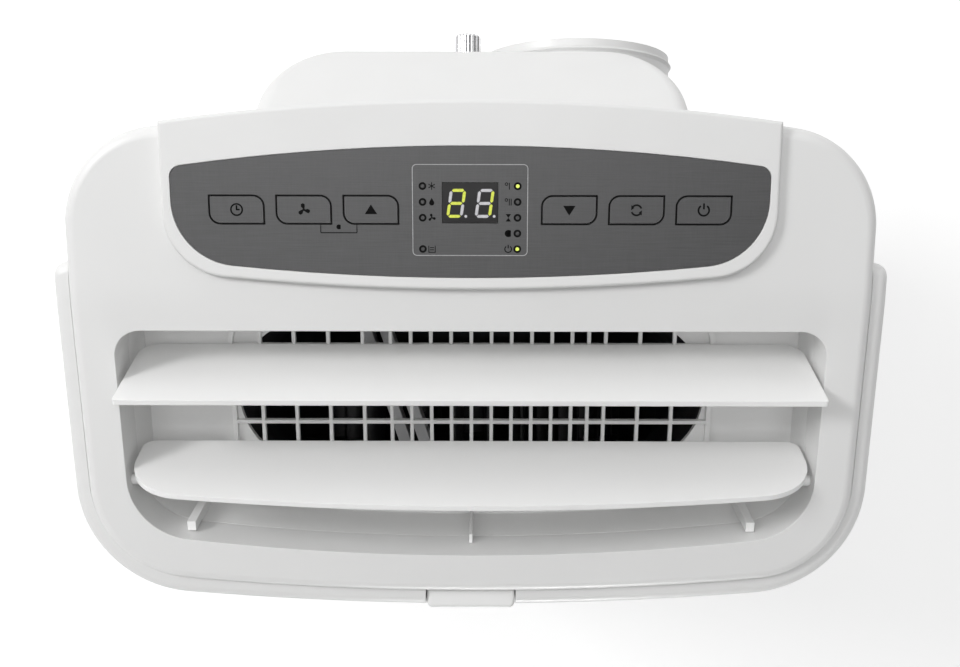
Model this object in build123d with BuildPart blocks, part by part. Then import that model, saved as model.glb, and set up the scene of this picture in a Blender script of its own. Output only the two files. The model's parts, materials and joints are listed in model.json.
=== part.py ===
from build123d import *

import os
from math import cos, radians, sin, tan

os.makedirs("parts", exist_ok=True)

# A portable room air conditioner on castors, in millimetres.
# The origin is on the floor under the middle of the casing, -Y is the front and +Z is up.

# Overall size
WIDTH = 368.0  # over the front shell
DEPTH = 313.0  # front clip to the rim of the exhaust collar
HEIGHT = 690.0  # floor to the back edge of the control island
CASTOR_HEIGHT = 40.0  # floor to the underside of the base pan

# Mouldings
WALL = 2.5  # wall of the casing
SEAM = 0.4  # gap between fixed mouldings
RUN = 0.3  # gap beside a sliding or swivelling piece
FIT = 0.08  # radial clearance of a pin in its hole

# Plan of the casing
RIM = 8.0  # the front shell stands this far outside the top cover
CLIP_PROUD = 1.5  # the front clip stands this far outside the shell
COLLAR_REACH = 31.5  # rim of the exhaust collar behind the back face of the bulge
BULGE_REACH = 52.0  # back face of the bulge behind the back edge of the top cover
FRONT_BOW = 11.0
BACK_BOW = 16.0
FRONT_CORNER = 45.0
BACK_CORNER = 43.0
SHELL_SETBACK = 66.5  # rear edge of the front shell, ahead of the cover's back edge
SHELL_END_ROUND = 6.0
LAP = 8.0  # the rear shell runs this far inside the front shell
SHELL_LIFT = 4.0  # lower edge of the shells above the underside of the base pan

# Side view of the top
PANEL_SLOPE = 11.3  # degrees, control end
VENT_SLOPE = 16.7  # degrees, outlet end
CONTROL_LENGTH = 84.0  # back edge of the cover to the line where the two slopes meet
BREAK_RADIUS = 150.0
COVER_DEPTH = 12.0  # skirt of the top cover
EDGE_ROUND = 5.0
SHELL_DROP = 5.0  # shoulder of the front shell below the top surface
SHOULDER = 5.0  # round on that shoulder

# Control island and panel, in the plane of the island's top
CONTROL_DATUM = 73.0  # zero line of the layout, ahead of the cover's back edge
ISLAND_SIDE = 44.5  # island from the side of the cover
ISLAND_STEP = 4.5
ISLAND_FRONT = -6.6
ISLAND_BOW = 8.0
ISLAND_CORNER = 28.0
ISLAND_WALL = 3.5
ISLAND_EDGE = 1.5
PANEL_SIDE = 4.3  # panel from the side of the island
PANEL_BACK = 54.8
PANEL_BACK_BOW = 9.0
PANEL_FRONT = -1.2
PANEL_FRONT_BOW = 8.0
PANEL_BACK_CORNER = 5.0
PANEL_FRONT_CORNER = 28.0
PANEL_DEPTH = 1.5
PANEL_SINK = 0.3  # face of the panel below the island
KEY_SIDE = 27.8  # outermost key's middle from the side of the panel
KEY_GAP = 6.1
KEY_HEIGHT = 11.2
KEY_ROUND = 4.2
KEY_FIRST = 42.2  # nearest key to the centre line
KEY_ROW = 27.9
KEY_TRAVEL = 0.5
KEY_FLANGE = 1.0  # rim under the cover that keeps a key in
KEY_STEM = 6.0  # lower end of the stem below the island's top
STEM_WIDTH = 4.0
WINDOW_WIDTH = 23.6
WINDOW_HEIGHT = 17.0
WINDOW_ROW = 30.9
WINDOW_THICK = 0.6
LAMP_RADIUS = 1.25
LAMP_COLUMN = 20.2
LAMP_FIRST = 38.0
LAMP_PITCH = 6.7
BOARD_SIDE = 11.2  # board from the side of the panel
BOARD_BACK = 43.0
BOARD_FRONT = 7.0
BOARD_THICK = 1.6
BOARD_DROP = 9.0  # board below the island's top
SWITCH_SIZE = 6.0
SWITCH_HEIGHT = 2.0
PLUNGER_WIDTH = 3.0
BOSS_RADIUS = 3.5
BOSS_INSET = 5.0
SCREW_RADIUS = 1.4
SCREW_HEAD = 2.8

# Air outlet, in the plane of the sloping top
VENT_SETBACK = 13.3  # rear edge of the opening, ahead of the break
VENT_SIDE = 18.5  # opening from the side of the cover
VENT_MARGIN = 18.0  # opening from the front of the cover
VENT_BOW = 11.5
VENT_REAR_CORNER = 12.0
VENT_FRONT_CORNER = 30.0
LIP = 20.0  # collar of the top cover round the opening
RECESS = 45.0
FLOOR_WALL = 3.0
RIB_THICK = 1.6
RIB_WIDTH = 5.0
RIB_TOP = 12.0
CORNER_RIB_SIDE = 26.0  # ribs in the front corners, from the side of the opening
CORNER_RIB_SETBACK = 8.3  # wall of the corner there, behind the front edge's middle
CORNER_RIB_THICK = 4.0
CORNER_RIB_TOP = 8.0
GRILLE_SIDE = 40.5  # grille from the side of the opening
GRILLE_MARGIN = 4.0  # behind the grille
GRILLE_TOE = 6.5  # in front of it, under the bowed edge
MOUTH_SIDE = 3.5  # round-ended mouth of the air duct, from the side of the grille
MOUTH_TOE = 16.0  # floor between the mouth and the front of the grille
GRILLE_CORNER = 14.0
GRILLE_FRAME = 2.4
GRILLE_BAR = 1.7
GRILLE_THICK = 3.0
FIRST_ROW = 15.9  # from the rear of the grille
ROW_PITCH = 13.0
FIRST_BAR = 15.3  # from the left side of the grille
LEFT_PITCH = 16.5  # bars from the left side: widely spaced, then close, then two more widths
LEFT_STEPS = 3
FIRST_STEP = 13.4
CLOSE_PITCH = 9.7
CLOSE_STEPS = 9
NEXT_PITCH = 8.0
NEXT_STEPS = 2
RIGHT_PITCH = 16.5
RIGHT_STEPS = 2

# Louvres
LOUVRE_GAP = 2.0  # between a louvre and the edge of the opening
LOUVRE_SPLIT = 1.0  # between the two closed louvres
LOUVRE_THICK = 2.6
LOUVRE_TILT = 62.5  # degrees above the floor, as it stands open
PIVOT_DEPTH = 8.8  # pivots below the top surface
UPPER_SHARE = 0.554  # of the upper louvre that lies behind its pivot
LOWER_SHARE = 0.375
LOUVRE_CORNER = 12.0
LOUVRE_TIP = 1.2
PIN_RADIUS = 2.5
HUB_RADIUS = 4.2
ARM_THICK = 4.0
ARM_SHARE = 0.4  # of the plate that an arm runs under
ARM_INSET = 12.0  # end arms from the ends of a louvre
CRANK_THROW = 14.0
CRANK_THICK = 2.2
CRANK_ANGLE = -130.0  # degrees from +Y towards +Z, as the louvres stand open
LINK_WIDTH = 8.0
CRANK_PIN = 1.6

# Rear bulge
BULGE_ROOT = 43.0  # start of the bulge inside the back edge of the cover
BULGE_SIDE = 69.0  # bulge from the side of the cover
BULGE_CORNER = 38.0
BULGE_DROP = 30.0  # head of the bulge inside the casing, below the top
ROOF_DROP = 130.0  # edge of the roof at the back face, below the top
ROOF_SLOPE = 53.0
ROOF_ROUND = 9.0
INTAKE_SIDE = 41.0  # grilles from the side of the bulge
INTAKE_DROP = 146.0  # upper edge of the intake below the top
INTAKE_TALL = 44.0
OUTDOOR_SIDE = 41.0
OUTDOOR_LOW = 92.0
OUTDOOR_DROP = 33.0  # upper edge of the outdoor grille below the partition
SLAT_PITCH = 10.5
SLAT_THICK = 2.4
SLAT_DEPTH = 8.0
SLAT_TILT = 28.0
FRAME_WIDTH = 7.0
FILTER_THICK = 1.5
SIDE_SLOT_DROP = 15.0  # lowest slot below the partition
SIDE_SLOT_PITCH = 14.0
SIDE_SLOT_COUNT = 16
SIDE_SLOT_LENGTH = 18.0
SIDE_SLOT_WIDTH = 5.0
SIDE_SLOT_SETBACK = 12.5  # slots behind the edge of the front shell

# Exhaust collar and drain spout on the back
COLLAR_SIDE = 41.0  # axis from the side of the bulge
COLLAR_DROP = 288.0  # axis below the top
COLLAR_RADIUS = 62.5
COLLAR_WALL = 2.5
PORT_BOSS = 2.0  # wall of the moulded boss outside the collar
PORT_STAND = 2.0  # boss behind the back face
PORT_LIP = 1.0  # step inside the boss that a hose end stops on
FLANGE_THICK = 3.0
COLLAR_BEAD = 1.6
GUARD_BAR = 4.0
SPOUT_X = -4.0
SPOUT_DROP = 210.0
SPOUT_RADIUS = 7.8
SPOUT_BORE = 5.0
SPOUT_REACH = 28.5
SPOUT_FLANGE = 3.2
SPOUT_BEVEL = 1.2
PORT_SIDE = 53.0  # drain plug and cord gland from the sides of the bulge
PLUG_Z = 68.0
PLUG_RADIUS = 9.0
GLAND_Z = 68.0
GLAND_RADIUS = 9.0
GLAND_BORE = 3.6

# Side handles
HANDLE_FRONT = 4.0  # opening behind the rounded front corner of the shell
HANDLE_BACK = 13.5  # opening ahead of the shell's rear edge
HANDLE_DROP = 160.0
HANDLE_HEIGHT = 38.0
HANDLE_DEPTH = 22.0
HANDLE_CORNER = 14.0
HANDLE_FLANGE = 5.0

# Front clip
CLIP_HALF = 21.0
CLIP_HEIGHT = 24.0
CLIP_ROUND = 3.0

# Castors
CASTOR_FRONT_SIDE = 40.0  # front castors from the side and the front of the cover
CASTOR_FRONT_SETBACK = 49.0
CASTOR_REAR_SIDE = 17.0  # rear castors from the side and the back of the bulge
CASTOR_REAR_SETBACK = 41.0
WHEEL_RADIUS = 15.0
WHEEL_WIDTH = 8.5
WHEEL_BEVEL = 1.2
TRAIL = 12.0
WEB_THICK = 7.0
HOOD_RADIUS = 13.0
HOOD_HEIGHT = 7.0
STEM_RADIUS = 4.0
STEM_LENGTH = 13.0
SOCKET_WALL = 4.0
AXLE_RADIUS = 2.5

# Indoor fan and its duct
BLOWER_DROP = 220.0
BLOWER_ROOM = 24.0  # in the housing before and behind the wheel
BLOWER_CHAMBER_SIDE = 3.5  # round chamber from the sides of the mouth
BLOWER_SCROLL = 22.0  # air space round the wheel
BLOWER_RING = 18.0  # wheel outside the eye of the housing
DUCT_WALL = 2.0
DUCT_ROOM = 0.6  # duct wider than the mouth
FOOT_HALF = 60.0
FOOT_THICK = 4.0
BRACE_RISE = 5.0  # stays above the rim of the fan wheel
BRACE_HEIGHT = 20.0
BRACE_THICK = 6.0
BRACE_X = -41.5
BRACE_PITCH = 10.0
BRACE_LEAN = 28.0

# Fan wheels and motors
BLADE_COUNT = 30
BLADE_DEPTH = 15.0
BLADE_BOW = 3.5
BLADE_THICK = 1.4
DISC_THICK = 3.0
SHAFT_RADIUS = 4.0
FAN_HUB = 12.0
FAN_HUB_LENGTH = 26.0
FAN_SPACE = 4.0  # between a wheel's disc and the plate
MOTOR_RADIUS = 42.0
MOTOR_LENGTH = 30.0
MOTOR_BEVEL = 5.0

# Outdoor fan with its stack up to the exhaust port
COOLER_OFFSET = 96.0  # axis beside the axis of the exhaust collar
COOLER_RISE = 6.0  # axis above the middle of the lower half
COOLER_SETBACK = 69.0  # back plate ahead of the bulge's back face
COOLER_DEPTH = 54.0
COOLER_CHAMBER = 95.0
COOLER_RADIUS = 74.0
COOLER_LENGTH = 38.0
COOLER_EYE = 58.0
STACK_HALF = 60.0
STACK_HEAD = 62.0  # top of the stack above the axis of the exhaust collar
SPIGOT_RADIUS = 57.5
SPIGOT_SETBACK = 5.0

# Coils, tray and partition
EVAPORATOR_SIDE = 38.0  # indoor coil from the side of the cover
EVAPORATOR_ROOM = 14.0  # behind the indoor fan's housing
EVAPORATOR_DEPTH = 42.0
EVAPORATOR_DROP = 60.0  # below the top
EVAPORATOR_TALL = 152.0
CONDENSER_SIDE = 27.0  # outdoor coil from the side of the bulge
CONDENSER_ROOM = 10.0  # behind the outdoor fan's housing
CONDENSER_SETBACK = 19.0
CONDENSER_LOW = 70.0
CONDENSER_DROP = 23.0  # below the partition
FIN_PITCH = 14.0
FIN_GAP = 3.0
CORE_THICK = 10.0
END_PLATE = 2.0
BEND_PITCH = 40.0
BEND_REACH = 14.0
TRAY_SIDE = 8.0  # tray beyond the ends and the back of the coil
TRAY_TOE = 10.0  # tray in front of the coil
TRAY_SUNK = 9.0  # tray below the coil
TRAY_RIM = 20.0
TRAY_WALL = 2.0
TRAY_LEG = 3.0
TUBE_RADIUS = 7.5
PARTITION_DROP = 345.0
PARTITION_THICK = 3.0
PIPE_RADIUS = 4.0
PIPE_BEND = 9.0

# Compressor and control box
COMPRESSOR_SIDE = 73.0  # axis from the side and the front of the cover
COMPRESSOR_SETBACK = 59.0
COMPRESSOR_RADIUS = 52.0
COMPRESSOR_DROP = 57.0  # below the partition
DOME = 24.0
STUB_RADIUS = 5.5
STUB_LENGTH = 12.0
PLATE_THICK = 4.0
GROMMET_HEIGHT = 14.0
GROMMET_RADIUS = 8.0
EAR_RADIUS = 10.0
EAR_REACH = 55.0
EAR_TURNS = (90, 210, 330)  # degrees
BOX_SIDE = 103.0
BOX_SETBACK = 55.0
BOX_WIDTH = 100.0
BOX_DEPTH = 66.0
BOX_HEIGHT = 170.0
BOX_CORNER = 4.0

# Base pan
PAN_FLOOR = 3.0
PAN_WALL = 16.0

# Values worked out from the driving dimensions
COVER_HALF = WIDTH / 2 - RIM
SHELL_FRONT = -DEPTH / 2 + CLIP_PROUD
COVER_FRONT = SHELL_FRONT + RIM
SHELL_FOOT = CASTOR_HEIGHT + SHELL_LIFT
PAN_TOP = CASTOR_HEIGHT + PAN_FLOOR
COLLAR_RIM = DEPTH / 2
BULGE_BACK = COLLAR_RIM - COLLAR_REACH
COVER_BACK = BULGE_BACK - BULGE_REACH
BULGE_FRONT = COVER_BACK - BULGE_ROOT
BULGE_HALF = COVER_HALF - BULGE_SIDE
SHELL_END = COVER_BACK - SHELL_SETBACK
BREAK_Y = COVER_BACK - CONTROL_LENGTH
BREAK_Z = HEIGHT - ISLAND_STEP - tan(radians(PANEL_SLOPE)) * CONTROL_LENGTH
VENT_REAR = BREAK_Y - VENT_SETBACK
VENT_REAR_Z = BREAK_Z - tan(radians(VENT_SLOPE)) * VENT_SETBACK
VENT_HALF = COVER_HALF - VENT_SIDE
VENT_LENGTH = (VENT_REAR - COVER_FRONT - VENT_MARGIN) / cos(radians(VENT_SLOPE))
ISLAND_HALF = COVER_HALF - ISLAND_SIDE
PANEL_HALF = ISLAND_HALF - PANEL_SIDE
PANEL_ORIGIN_Z = HEIGHT - tan(radians(PANEL_SLOPE)) * CONTROL_DATUM
KEY_PITCH = (PANEL_HALF - KEY_SIDE - KEY_FIRST) / 2
KEY_WIDTH = KEY_PITCH - KEY_GAP
BOARD_WIDTH = 2 * (PANEL_HALF - BOARD_SIDE)
PARTITION_LOW = HEIGHT - PARTITION_DROP
PARTITION_TOP = PARTITION_LOW + PARTITION_THICK


def tilted_plane(y, z, slope):
    """Plane across the casing whose local +y climbs towards the back at the given slope."""
    lean = radians(slope)
    return Plane(origin=(0, y, z), x_dir=(1, 0, 0), z_dir=(0, -sin(lean), cos(lean)))


def upright(y):
    """Upright plane across the casing: local x is X, local y is Z, and it faces the front."""
    return Plane.XZ.offset(-y)


panel_plane = tilted_plane(COVER_BACK - CONTROL_DATUM, PANEL_ORIGIN_Z, PANEL_SLOPE)
vent_plane = tilted_plane(VENT_REAR, VENT_REAR_Z, VENT_SLOPE)


def save(builder, name):
    """Label a finished piece and write its file."""
    builder.part.label = name
    export_step(builder.part, f"parts/{name}.step")


def bowed_plan(half, back, back_bow, front, front_bow, back_round, front_round):
    """Four-sided outline with bowed back and front edges and rounded corners."""
    with BuildSketch() as plan:
        with BuildLine():
            ThreePointArc((-half, back - back_bow), (0, back), (half, back - back_bow))
            Line((half, back - back_bow), (half, front + front_bow))
            ThreePointArc((half, front + front_bow), (0, front), (-half, front + front_bow))
            Line((-half, front + front_bow), (-half, back - back_bow))
        make_face()
        fillet(plan.vertices().group_by(Axis.Y)[-1], back_round)
        fillet(plan.vertices().group_by(Axis.Y)[0], front_round)
    return plan.sketch


def body_outline(inset):
    """Plan of the casing, drawn inset from the edge of the top cover."""
    return bowed_plan(
        COVER_HALF - inset,
        COVER_BACK - inset,
        BACK_BOW,
        COVER_FRONT + inset,
        FRONT_BOW,
        BACK_CORNER - inset,
        FRONT_CORNER - inset,
    )


def island_outline(inset):
    """Raised control island; its back runs out past the edge of the cover."""
    return bowed_plan(
        ISLAND_HALF - inset,
        CONTROL_DATUM + BACK_CORNER,
        ISLAND_EDGE,
        ISLAND_FRONT + inset,
        ISLAND_BOW,
        ISLAND_EDGE,
        ISLAND_CORNER - inset,
    )


def panel_outline(inset):
    """Control panel overlay."""
    return bowed_plan(
        PANEL_HALF - inset,
        PANEL_BACK - inset,
        PANEL_BACK_BOW,
        PANEL_FRONT + inset,
        PANEL_FRONT_BOW,
        PANEL_BACK_CORNER - inset,
        PANEL_FRONT_CORNER - inset,
    )


def vent_outline(inset):
    """Air outlet in the sloping top, with a straight rear edge and a bowed front edge."""
    half = VENT_HALF - inset
    front = -VENT_LENGTH + inset
    with BuildSketch() as plan:
        with BuildLine():
            Line((-half, -inset), (half, -inset))
            Line((half, -inset), (half, front + VENT_BOW))
            ThreePointArc((half, front + VENT_BOW), (0, front), (-half, front + VENT_BOW))
            Line((-half, front + VENT_BOW), (-half, -inset))
        make_face()
        fillet(plan.vertices().group_by(Axis.Y)[-1], VENT_REAR_CORNER - inset)
        fillet(plan.vertices().group_by(Axis.Y)[0], VENT_FRONT_CORNER - inset)
    return plan.sketch


def key_outline(side, grow):
    """Key with two opposite corners rounded; the groups left and right mirror each other."""
    with BuildSketch() as plan:
        Rectangle(KEY_WIDTH + 2 * grow, KEY_HEIGHT + 2 * grow)
        inner = plan.vertices().sort_by(Axis.X)[-2:] if side < 0 else plan.vertices().sort_by(Axis.X)[:2]
        outer = plan.vertices().sort_by(Axis.X)[:2] if side < 0 else plan.vertices().sort_by(Axis.X)[-2:]
        fillet([inner.sort_by(Axis.Y)[-1], outer.sort_by(Axis.Y)[0]], KEY_ROUND + grow)
    return plan.sketch


def top_band(upper, lower):
    """Side view of a band that follows the top surface between two drops below it."""
    fall = tan(radians(VENT_SLOPE)) * DEPTH
    rise = tan(radians(PANEL_SLOPE)) * DEPTH
    with BuildSketch() as band:
        with BuildLine():
            Polyline(
                (BREAK_Y - DEPTH, BREAK_Z - fall - upper),
                (BREAK_Y, BREAK_Z - upper),
                (BREAK_Y + DEPTH, BREAK_Z + rise - upper),
                (BREAK_Y + DEPTH, BREAK_Z + rise - lower),
                (BREAK_Y, BREAK_Z - lower),
                (BREAK_Y - DEPTH, BREAK_Z - fall - lower),
                close=True,
            )
        make_face()
        fillet(band.vertices().filter_by(lambda corner: abs(corner.X - BREAK_Y) < 1), BREAK_RADIUS)
    return band.sketch


def rim_edges(part):
    """Edges round the upper faces of a part, where they meet its side walls."""
    upper = part.faces().filter_by(lambda face: face.normal_at().Z > 0.8)
    sides = part.faces().filter_by(lambda face: abs(face.normal_at().Z) < 0.5).edges()
    return ShapeList([edge for edge in upper.edges() if edge in sides])


def below_top(inset, drop):
    """Solid inside the casing outline, from the floor up to a drop below the top surface."""
    with BuildPart() as block:
        with BuildSketch(Plane.YZ):
            add(top_band(drop, 2 * HEIGHT))
        extrude(amount=WIDTH, both=True)
        with BuildSketch(Plane.XY):
            add(body_outline(inset))
        extrude(amount=2 * HEIGHT, mode=Mode.INTERSECT)
    return block.part


# Louvre pivots: the closed louvres lie in the top surface, and stand open at LOUVRE_TILT
def vent_point(along, depth):
    """Point (y, z) a distance forward along the outlet's slope and a depth below it."""
    lean = radians(VENT_SLOPE)
    y = VENT_REAR - along * cos(lean) + depth * sin(lean)
    z = VENT_REAR_Z - along * sin(lean) - depth * cos(lean)
    return y, z


LOUVRE_CHORD = (VENT_LENGTH - 2 * LOUVRE_GAP - LOUVRE_SPLIT) / 2
LOUVRE_HALF = VENT_HALF - LOUVRE_GAP
UPPER_PIVOT = LOUVRE_GAP + UPPER_SHARE * LOUVRE_CHORD
LOWER_PIVOT = LOUVRE_GAP + LOUVRE_CHORD + LOUVRE_SPLIT + LOWER_SHARE * LOUVRE_CHORD
upper_pivot = vent_point(UPPER_PIVOT, PIVOT_DEPTH)
lower_pivot = vent_point(LOWER_PIVOT, PIVOT_DEPTH)
key_columns = [side * (KEY_FIRST + KEY_PITCH * step) for side in (-1, 1) for step in range(3)]
lamp_rows = [LAMP_FIRST - LAMP_PITCH * step for step in range(5)]
key_places = [(x, KEY_ROW) for x in sorted(key_columns)]
lit_lamps = [(LAMP_COLUMN, lamp_rows[0]), (LAMP_COLUMN, lamp_rows[4])]
dark_lamps = [(-LAMP_COLUMN, lamp_rows[step]) for step in (0, 1, 2, 4)]
dark_lamps += [(LAMP_COLUMN, lamp_rows[step]) for step in (1, 2, 3)]
boss_x = BOARD_WIDTH / 2 - BOSS_INSET
boss_rows = (BOARD_FRONT + 2 * BOSS_INSET, BOARD_BACK - BOSS_INSET)
board_bosses = [(side * boss_x, y) for side in (-1, 1) for y in boss_rows]

# Top cover
with BuildPart() as control_island:
    with BuildSketch(panel_plane):
        add(island_outline(0))
    extrude(amount=-(ISLAND_STEP + WALL))
    with BuildSketch(Plane.XY):
        add(body_outline(0))
    extrude(amount=2 * HEIGHT, mode=Mode.INTERSECT)
    fillet(rim_edges(control_island.part), ISLAND_EDGE)

with BuildPart() as island_hollow:
    with BuildSketch(panel_plane.offset(-ISLAND_WALL)):
        add(island_outline(WALL))
    extrude(amount=-COVER_DEPTH)
    with BuildSketch(Plane.XY):
        add(body_outline(WALL))
    extrude(amount=2 * HEIGHT, mode=Mode.INTERSECT)

with BuildPart() as top_cover:
    with BuildSketch(Plane.YZ):
        add(top_band(0, COVER_DEPTH))
    extrude(amount=WIDTH, both=True)
    with BuildSketch(Plane.XY):
        add(body_outline(0))
    extrude(amount=2 * HEIGHT, mode=Mode.INTERSECT)
    fillet(rim_edges(top_cover.part), EDGE_ROUND)
    add(control_island.part)
    add(below_top(WALL, WALL), mode=Mode.SUBTRACT)
    add(island_hollow.part, mode=Mode.SUBTRACT)
    # Collar round the air outlet
    with BuildSketch(vent_plane):
        add(vent_outline(-WALL))
    extrude(amount=-LIP)
    with BuildSketch(vent_plane.offset(COVER_DEPTH)):
        add(vent_outline(0))
    extrude(amount=-(COVER_DEPTH + LIP), mode=Mode.SUBTRACT)
    # Bearings of the louvre pins in the ends of the collar
    with BuildSketch(Plane.YZ):
        with Locations(upper_pivot, lower_pivot):
            Circle(PIN_RADIUS + FIT)
    extrude(amount=VENT_HALF + 2 * WALL, both=True, mode=Mode.SUBTRACT)
    # Bosses for the display board
    with BuildSketch(panel_plane.offset(-ISLAND_WALL)):
        with Locations(board_bosses):
            Circle(BOSS_RADIUS)
    extrude(amount=-(BOARD_DROP - ISLAND_WALL))
    with BuildSketch(panel_plane.offset(-BOARD_DROP)):
        with Locations(board_bosses):
            Circle(SCREW_RADIUS)
    extrude(amount=BOARD_DROP - ISLAND_WALL, mode=Mode.SUBTRACT)
    # Bed of the control panel, with openings for the keys, lamps and display
    with BuildSketch(panel_plane):
        add(panel_outline(-SEAM / 2))
    extrude(amount=-PANEL_DEPTH - PANEL_SINK, mode=Mode.SUBTRACT)
    with BuildSketch(panel_plane):
        for place in key_places:
            with Locations(place):
                add(key_outline(place[0], RUN))
        with Locations((0, WINDOW_ROW)):
            Rectangle(WINDOW_WIDTH + SEAM, WINDOW_HEIGHT + SEAM)
        with Locations(lit_lamps + dark_lamps):
            Circle(LAMP_RADIUS + FIT)
    extrude(amount=-2 * ISLAND_WALL, mode=Mode.SUBTRACT)
save(top_cover, "top_cover")

# Front shell
with BuildPart() as front_hollow:
    with BuildSketch(Plane.XY):
        add(body_outline(WALL - RIM))
        with Locations((0, SHELL_END - WALL + DEPTH)):
            Rectangle(2 * WIDTH, 2 * DEPTH, mode=Mode.SUBTRACT)
    extrude(amount=2 * HEIGHT)
    with BuildSketch(Plane.YZ):
        add(top_band(SHELL_DROP + WALL, 2 * HEIGHT))
    extrude(amount=WIDTH, both=True, mode=Mode.INTERSECT)

HANDLE_Z = HEIGHT - HANDLE_DROP
handle_start = COVER_FRONT + FRONT_BOW + FRONT_CORNER + HANDLE_FRONT
handle_end = SHELL_END - HANDLE_BACK
HANDLE_Y = (handle_start + handle_end) / 2
HANDLE_LENGTH = handle_end - handle_start
CLIP_TOP = BREAK_Z - tan(radians(VENT_SLOPE)) * (BREAK_Y - SHELL_FRONT) - SHELL_DROP
CLIP_FOOT = CLIP_TOP - CLIP_HEIGHT
with BuildPart() as front_shell:
    with BuildSketch(Plane.XY.offset(SHELL_FOOT)) as shell_plan:
        add(body_outline(-RIM))
        with Locations((0, SHELL_END + DEPTH)):
            Rectangle(2 * WIDTH, 2 * DEPTH, mode=Mode.SUBTRACT)
        fillet(shell_plan.vertices().group_by(Axis.Y)[-1], SHELL_END_ROUND)
    extrude(amount=2 * HEIGHT)
    with BuildSketch(Plane.YZ):
        add(top_band(SHELL_DROP, 2 * HEIGHT))
    extrude(amount=WIDTH, both=True, mode=Mode.INTERSECT)
    fillet(rim_edges(front_shell.part), SHOULDER)
    add(front_hollow.part, mode=Mode.SUBTRACT)
    with BuildSketch(Plane.XY):
        add(body_outline(-SEAM))
    extrude(amount=2 * HEIGHT, mode=Mode.SUBTRACT)
    # Openings for the handle cups in both sides
    with BuildSketch(Plane.YZ):
        with Locations((HANDLE_Y, HANDLE_Z)):
            RectangleRounded(HANDLE_LENGTH, HANDLE_HEIGHT, HANDLE_CORNER)
    extrude(amount=WIDTH, both=True, mode=Mode.SUBTRACT)
    # Notch for the front clip
    with BuildSketch(Plane.XY.offset(CLIP_FOOT)):
        with Locations((0, SHELL_FRONT)):
            Rectangle(2 * (CLIP_HALF + SEAM), 4 * RIM)
    extrude(amount=2 * CLIP_HEIGHT, mode=Mode.SUBTRACT)
save(front_shell, "front_shell")

with BuildPart() as front_clip:
    with BuildSketch(Plane.XY.offset(CLIP_FOOT)):
        with Locations((0, (COVER_FRONT - SEAM - DEPTH / 2) / 2)):
            Rectangle(2 * CLIP_HALF, COVER_FRONT - SEAM + DEPTH / 2)
    extrude(amount=CLIP_HEIGHT)
    fillet(front_clip.edges().filter_by(Axis.Z).group_by(Axis.Y)[0], CLIP_ROUND)
    fillet(rim_edges(front_clip.part), CLIP_PROUD)
save(front_clip, "front_clip")


# Side handles: moulded cups behind openings in the front shell
for side, name in ((-1, "handle_cup_left"), (1, "handle_cup_right")):
    with BuildPart() as handle_cup:
        with BuildSketch(Plane.YZ.offset(side * (WIDTH / 2 - WALL))):
            with Locations((HANDLE_Y, HANDLE_Z)):
                RectangleRounded(
                    HANDLE_LENGTH + 2 * HANDLE_FLANGE,
                    HANDLE_HEIGHT + 2 * HANDLE_FLANGE,
                    HANDLE_CORNER + HANDLE_FLANGE,
                )
        extrude(amount=-side * WALL)
        with BuildSketch(Plane.YZ.offset(side * (WIDTH / 2 - WALL))):
            with Locations((HANDLE_Y, HANDLE_Z)):
                RectangleRounded(HANDLE_LENGTH + 2 * WALL, HANDLE_HEIGHT + 2 * WALL, HANDLE_CORNER + WALL)
        extrude(amount=-side * HANDLE_DEPTH)
        with BuildSketch(Plane.YZ.offset(side * (WIDTH / 2 - WALL))):
            with Locations((HANDLE_Y, HANDLE_Z)):
                RectangleRounded(HANDLE_LENGTH, HANDLE_HEIGHT, HANDLE_CORNER)
        extrude(amount=-side * (HANDLE_DEPTH - WALL), mode=Mode.SUBTRACT)
    save(handle_cup, name)


# Rear shell with its bulge
def bulge_plan(inset):
    """Plan of the rear bulge, drawn inset from its outer face."""
    back = BULGE_BACK - inset
    with BuildSketch() as plan:
        with Locations((0, (BULGE_FRONT + back) / 2)):
            Rectangle(2 * (BULGE_HALF - inset), back - BULGE_FRONT)
        fillet(plan.vertices().group_by(Axis.Y)[-1], BULGE_CORNER - inset)
    return plan.sketch


def rear_bulge(inset):
    """Block of the rear bulge under its sloping roof."""
    lean = radians(ROOF_SLOPE)
    roof = Plane(
        origin=(0, BULGE_BACK - inset * sin(lean), HEIGHT - ROOF_DROP - inset * cos(lean)),
        x_dir=(1, 0, 0),
        z_dir=(0, sin(lean), cos(lean)),
    )
    with BuildPart() as block:
        with BuildSketch(Plane.XY.offset(SHELL_FOOT)):
            add(bulge_plan(inset))
        extrude(amount=HEIGHT - BULGE_DROP - SHELL_FOOT)
        split(bisect_by=roof, keep=Keep.BOTTOM)
        slanted = block.faces().filter_by(lambda face: 0.3 < face.normal_at().Z < 0.9)
        ridge = slanted.edges().sort_by(Axis.Y)[-1]
        fillet(ridge, ROOF_ROUND - inset)
    return block.part


def back_hole(x, z, radius, start, end):
    """Round bar along Y between two depths, for holes and bosses in the back."""
    with BuildPart() as bar:
        with BuildSketch(upright(start)):
            with Locations((x, z)):
                Circle(radius)
        extrude(amount=start - end)
    return bar.part


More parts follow.
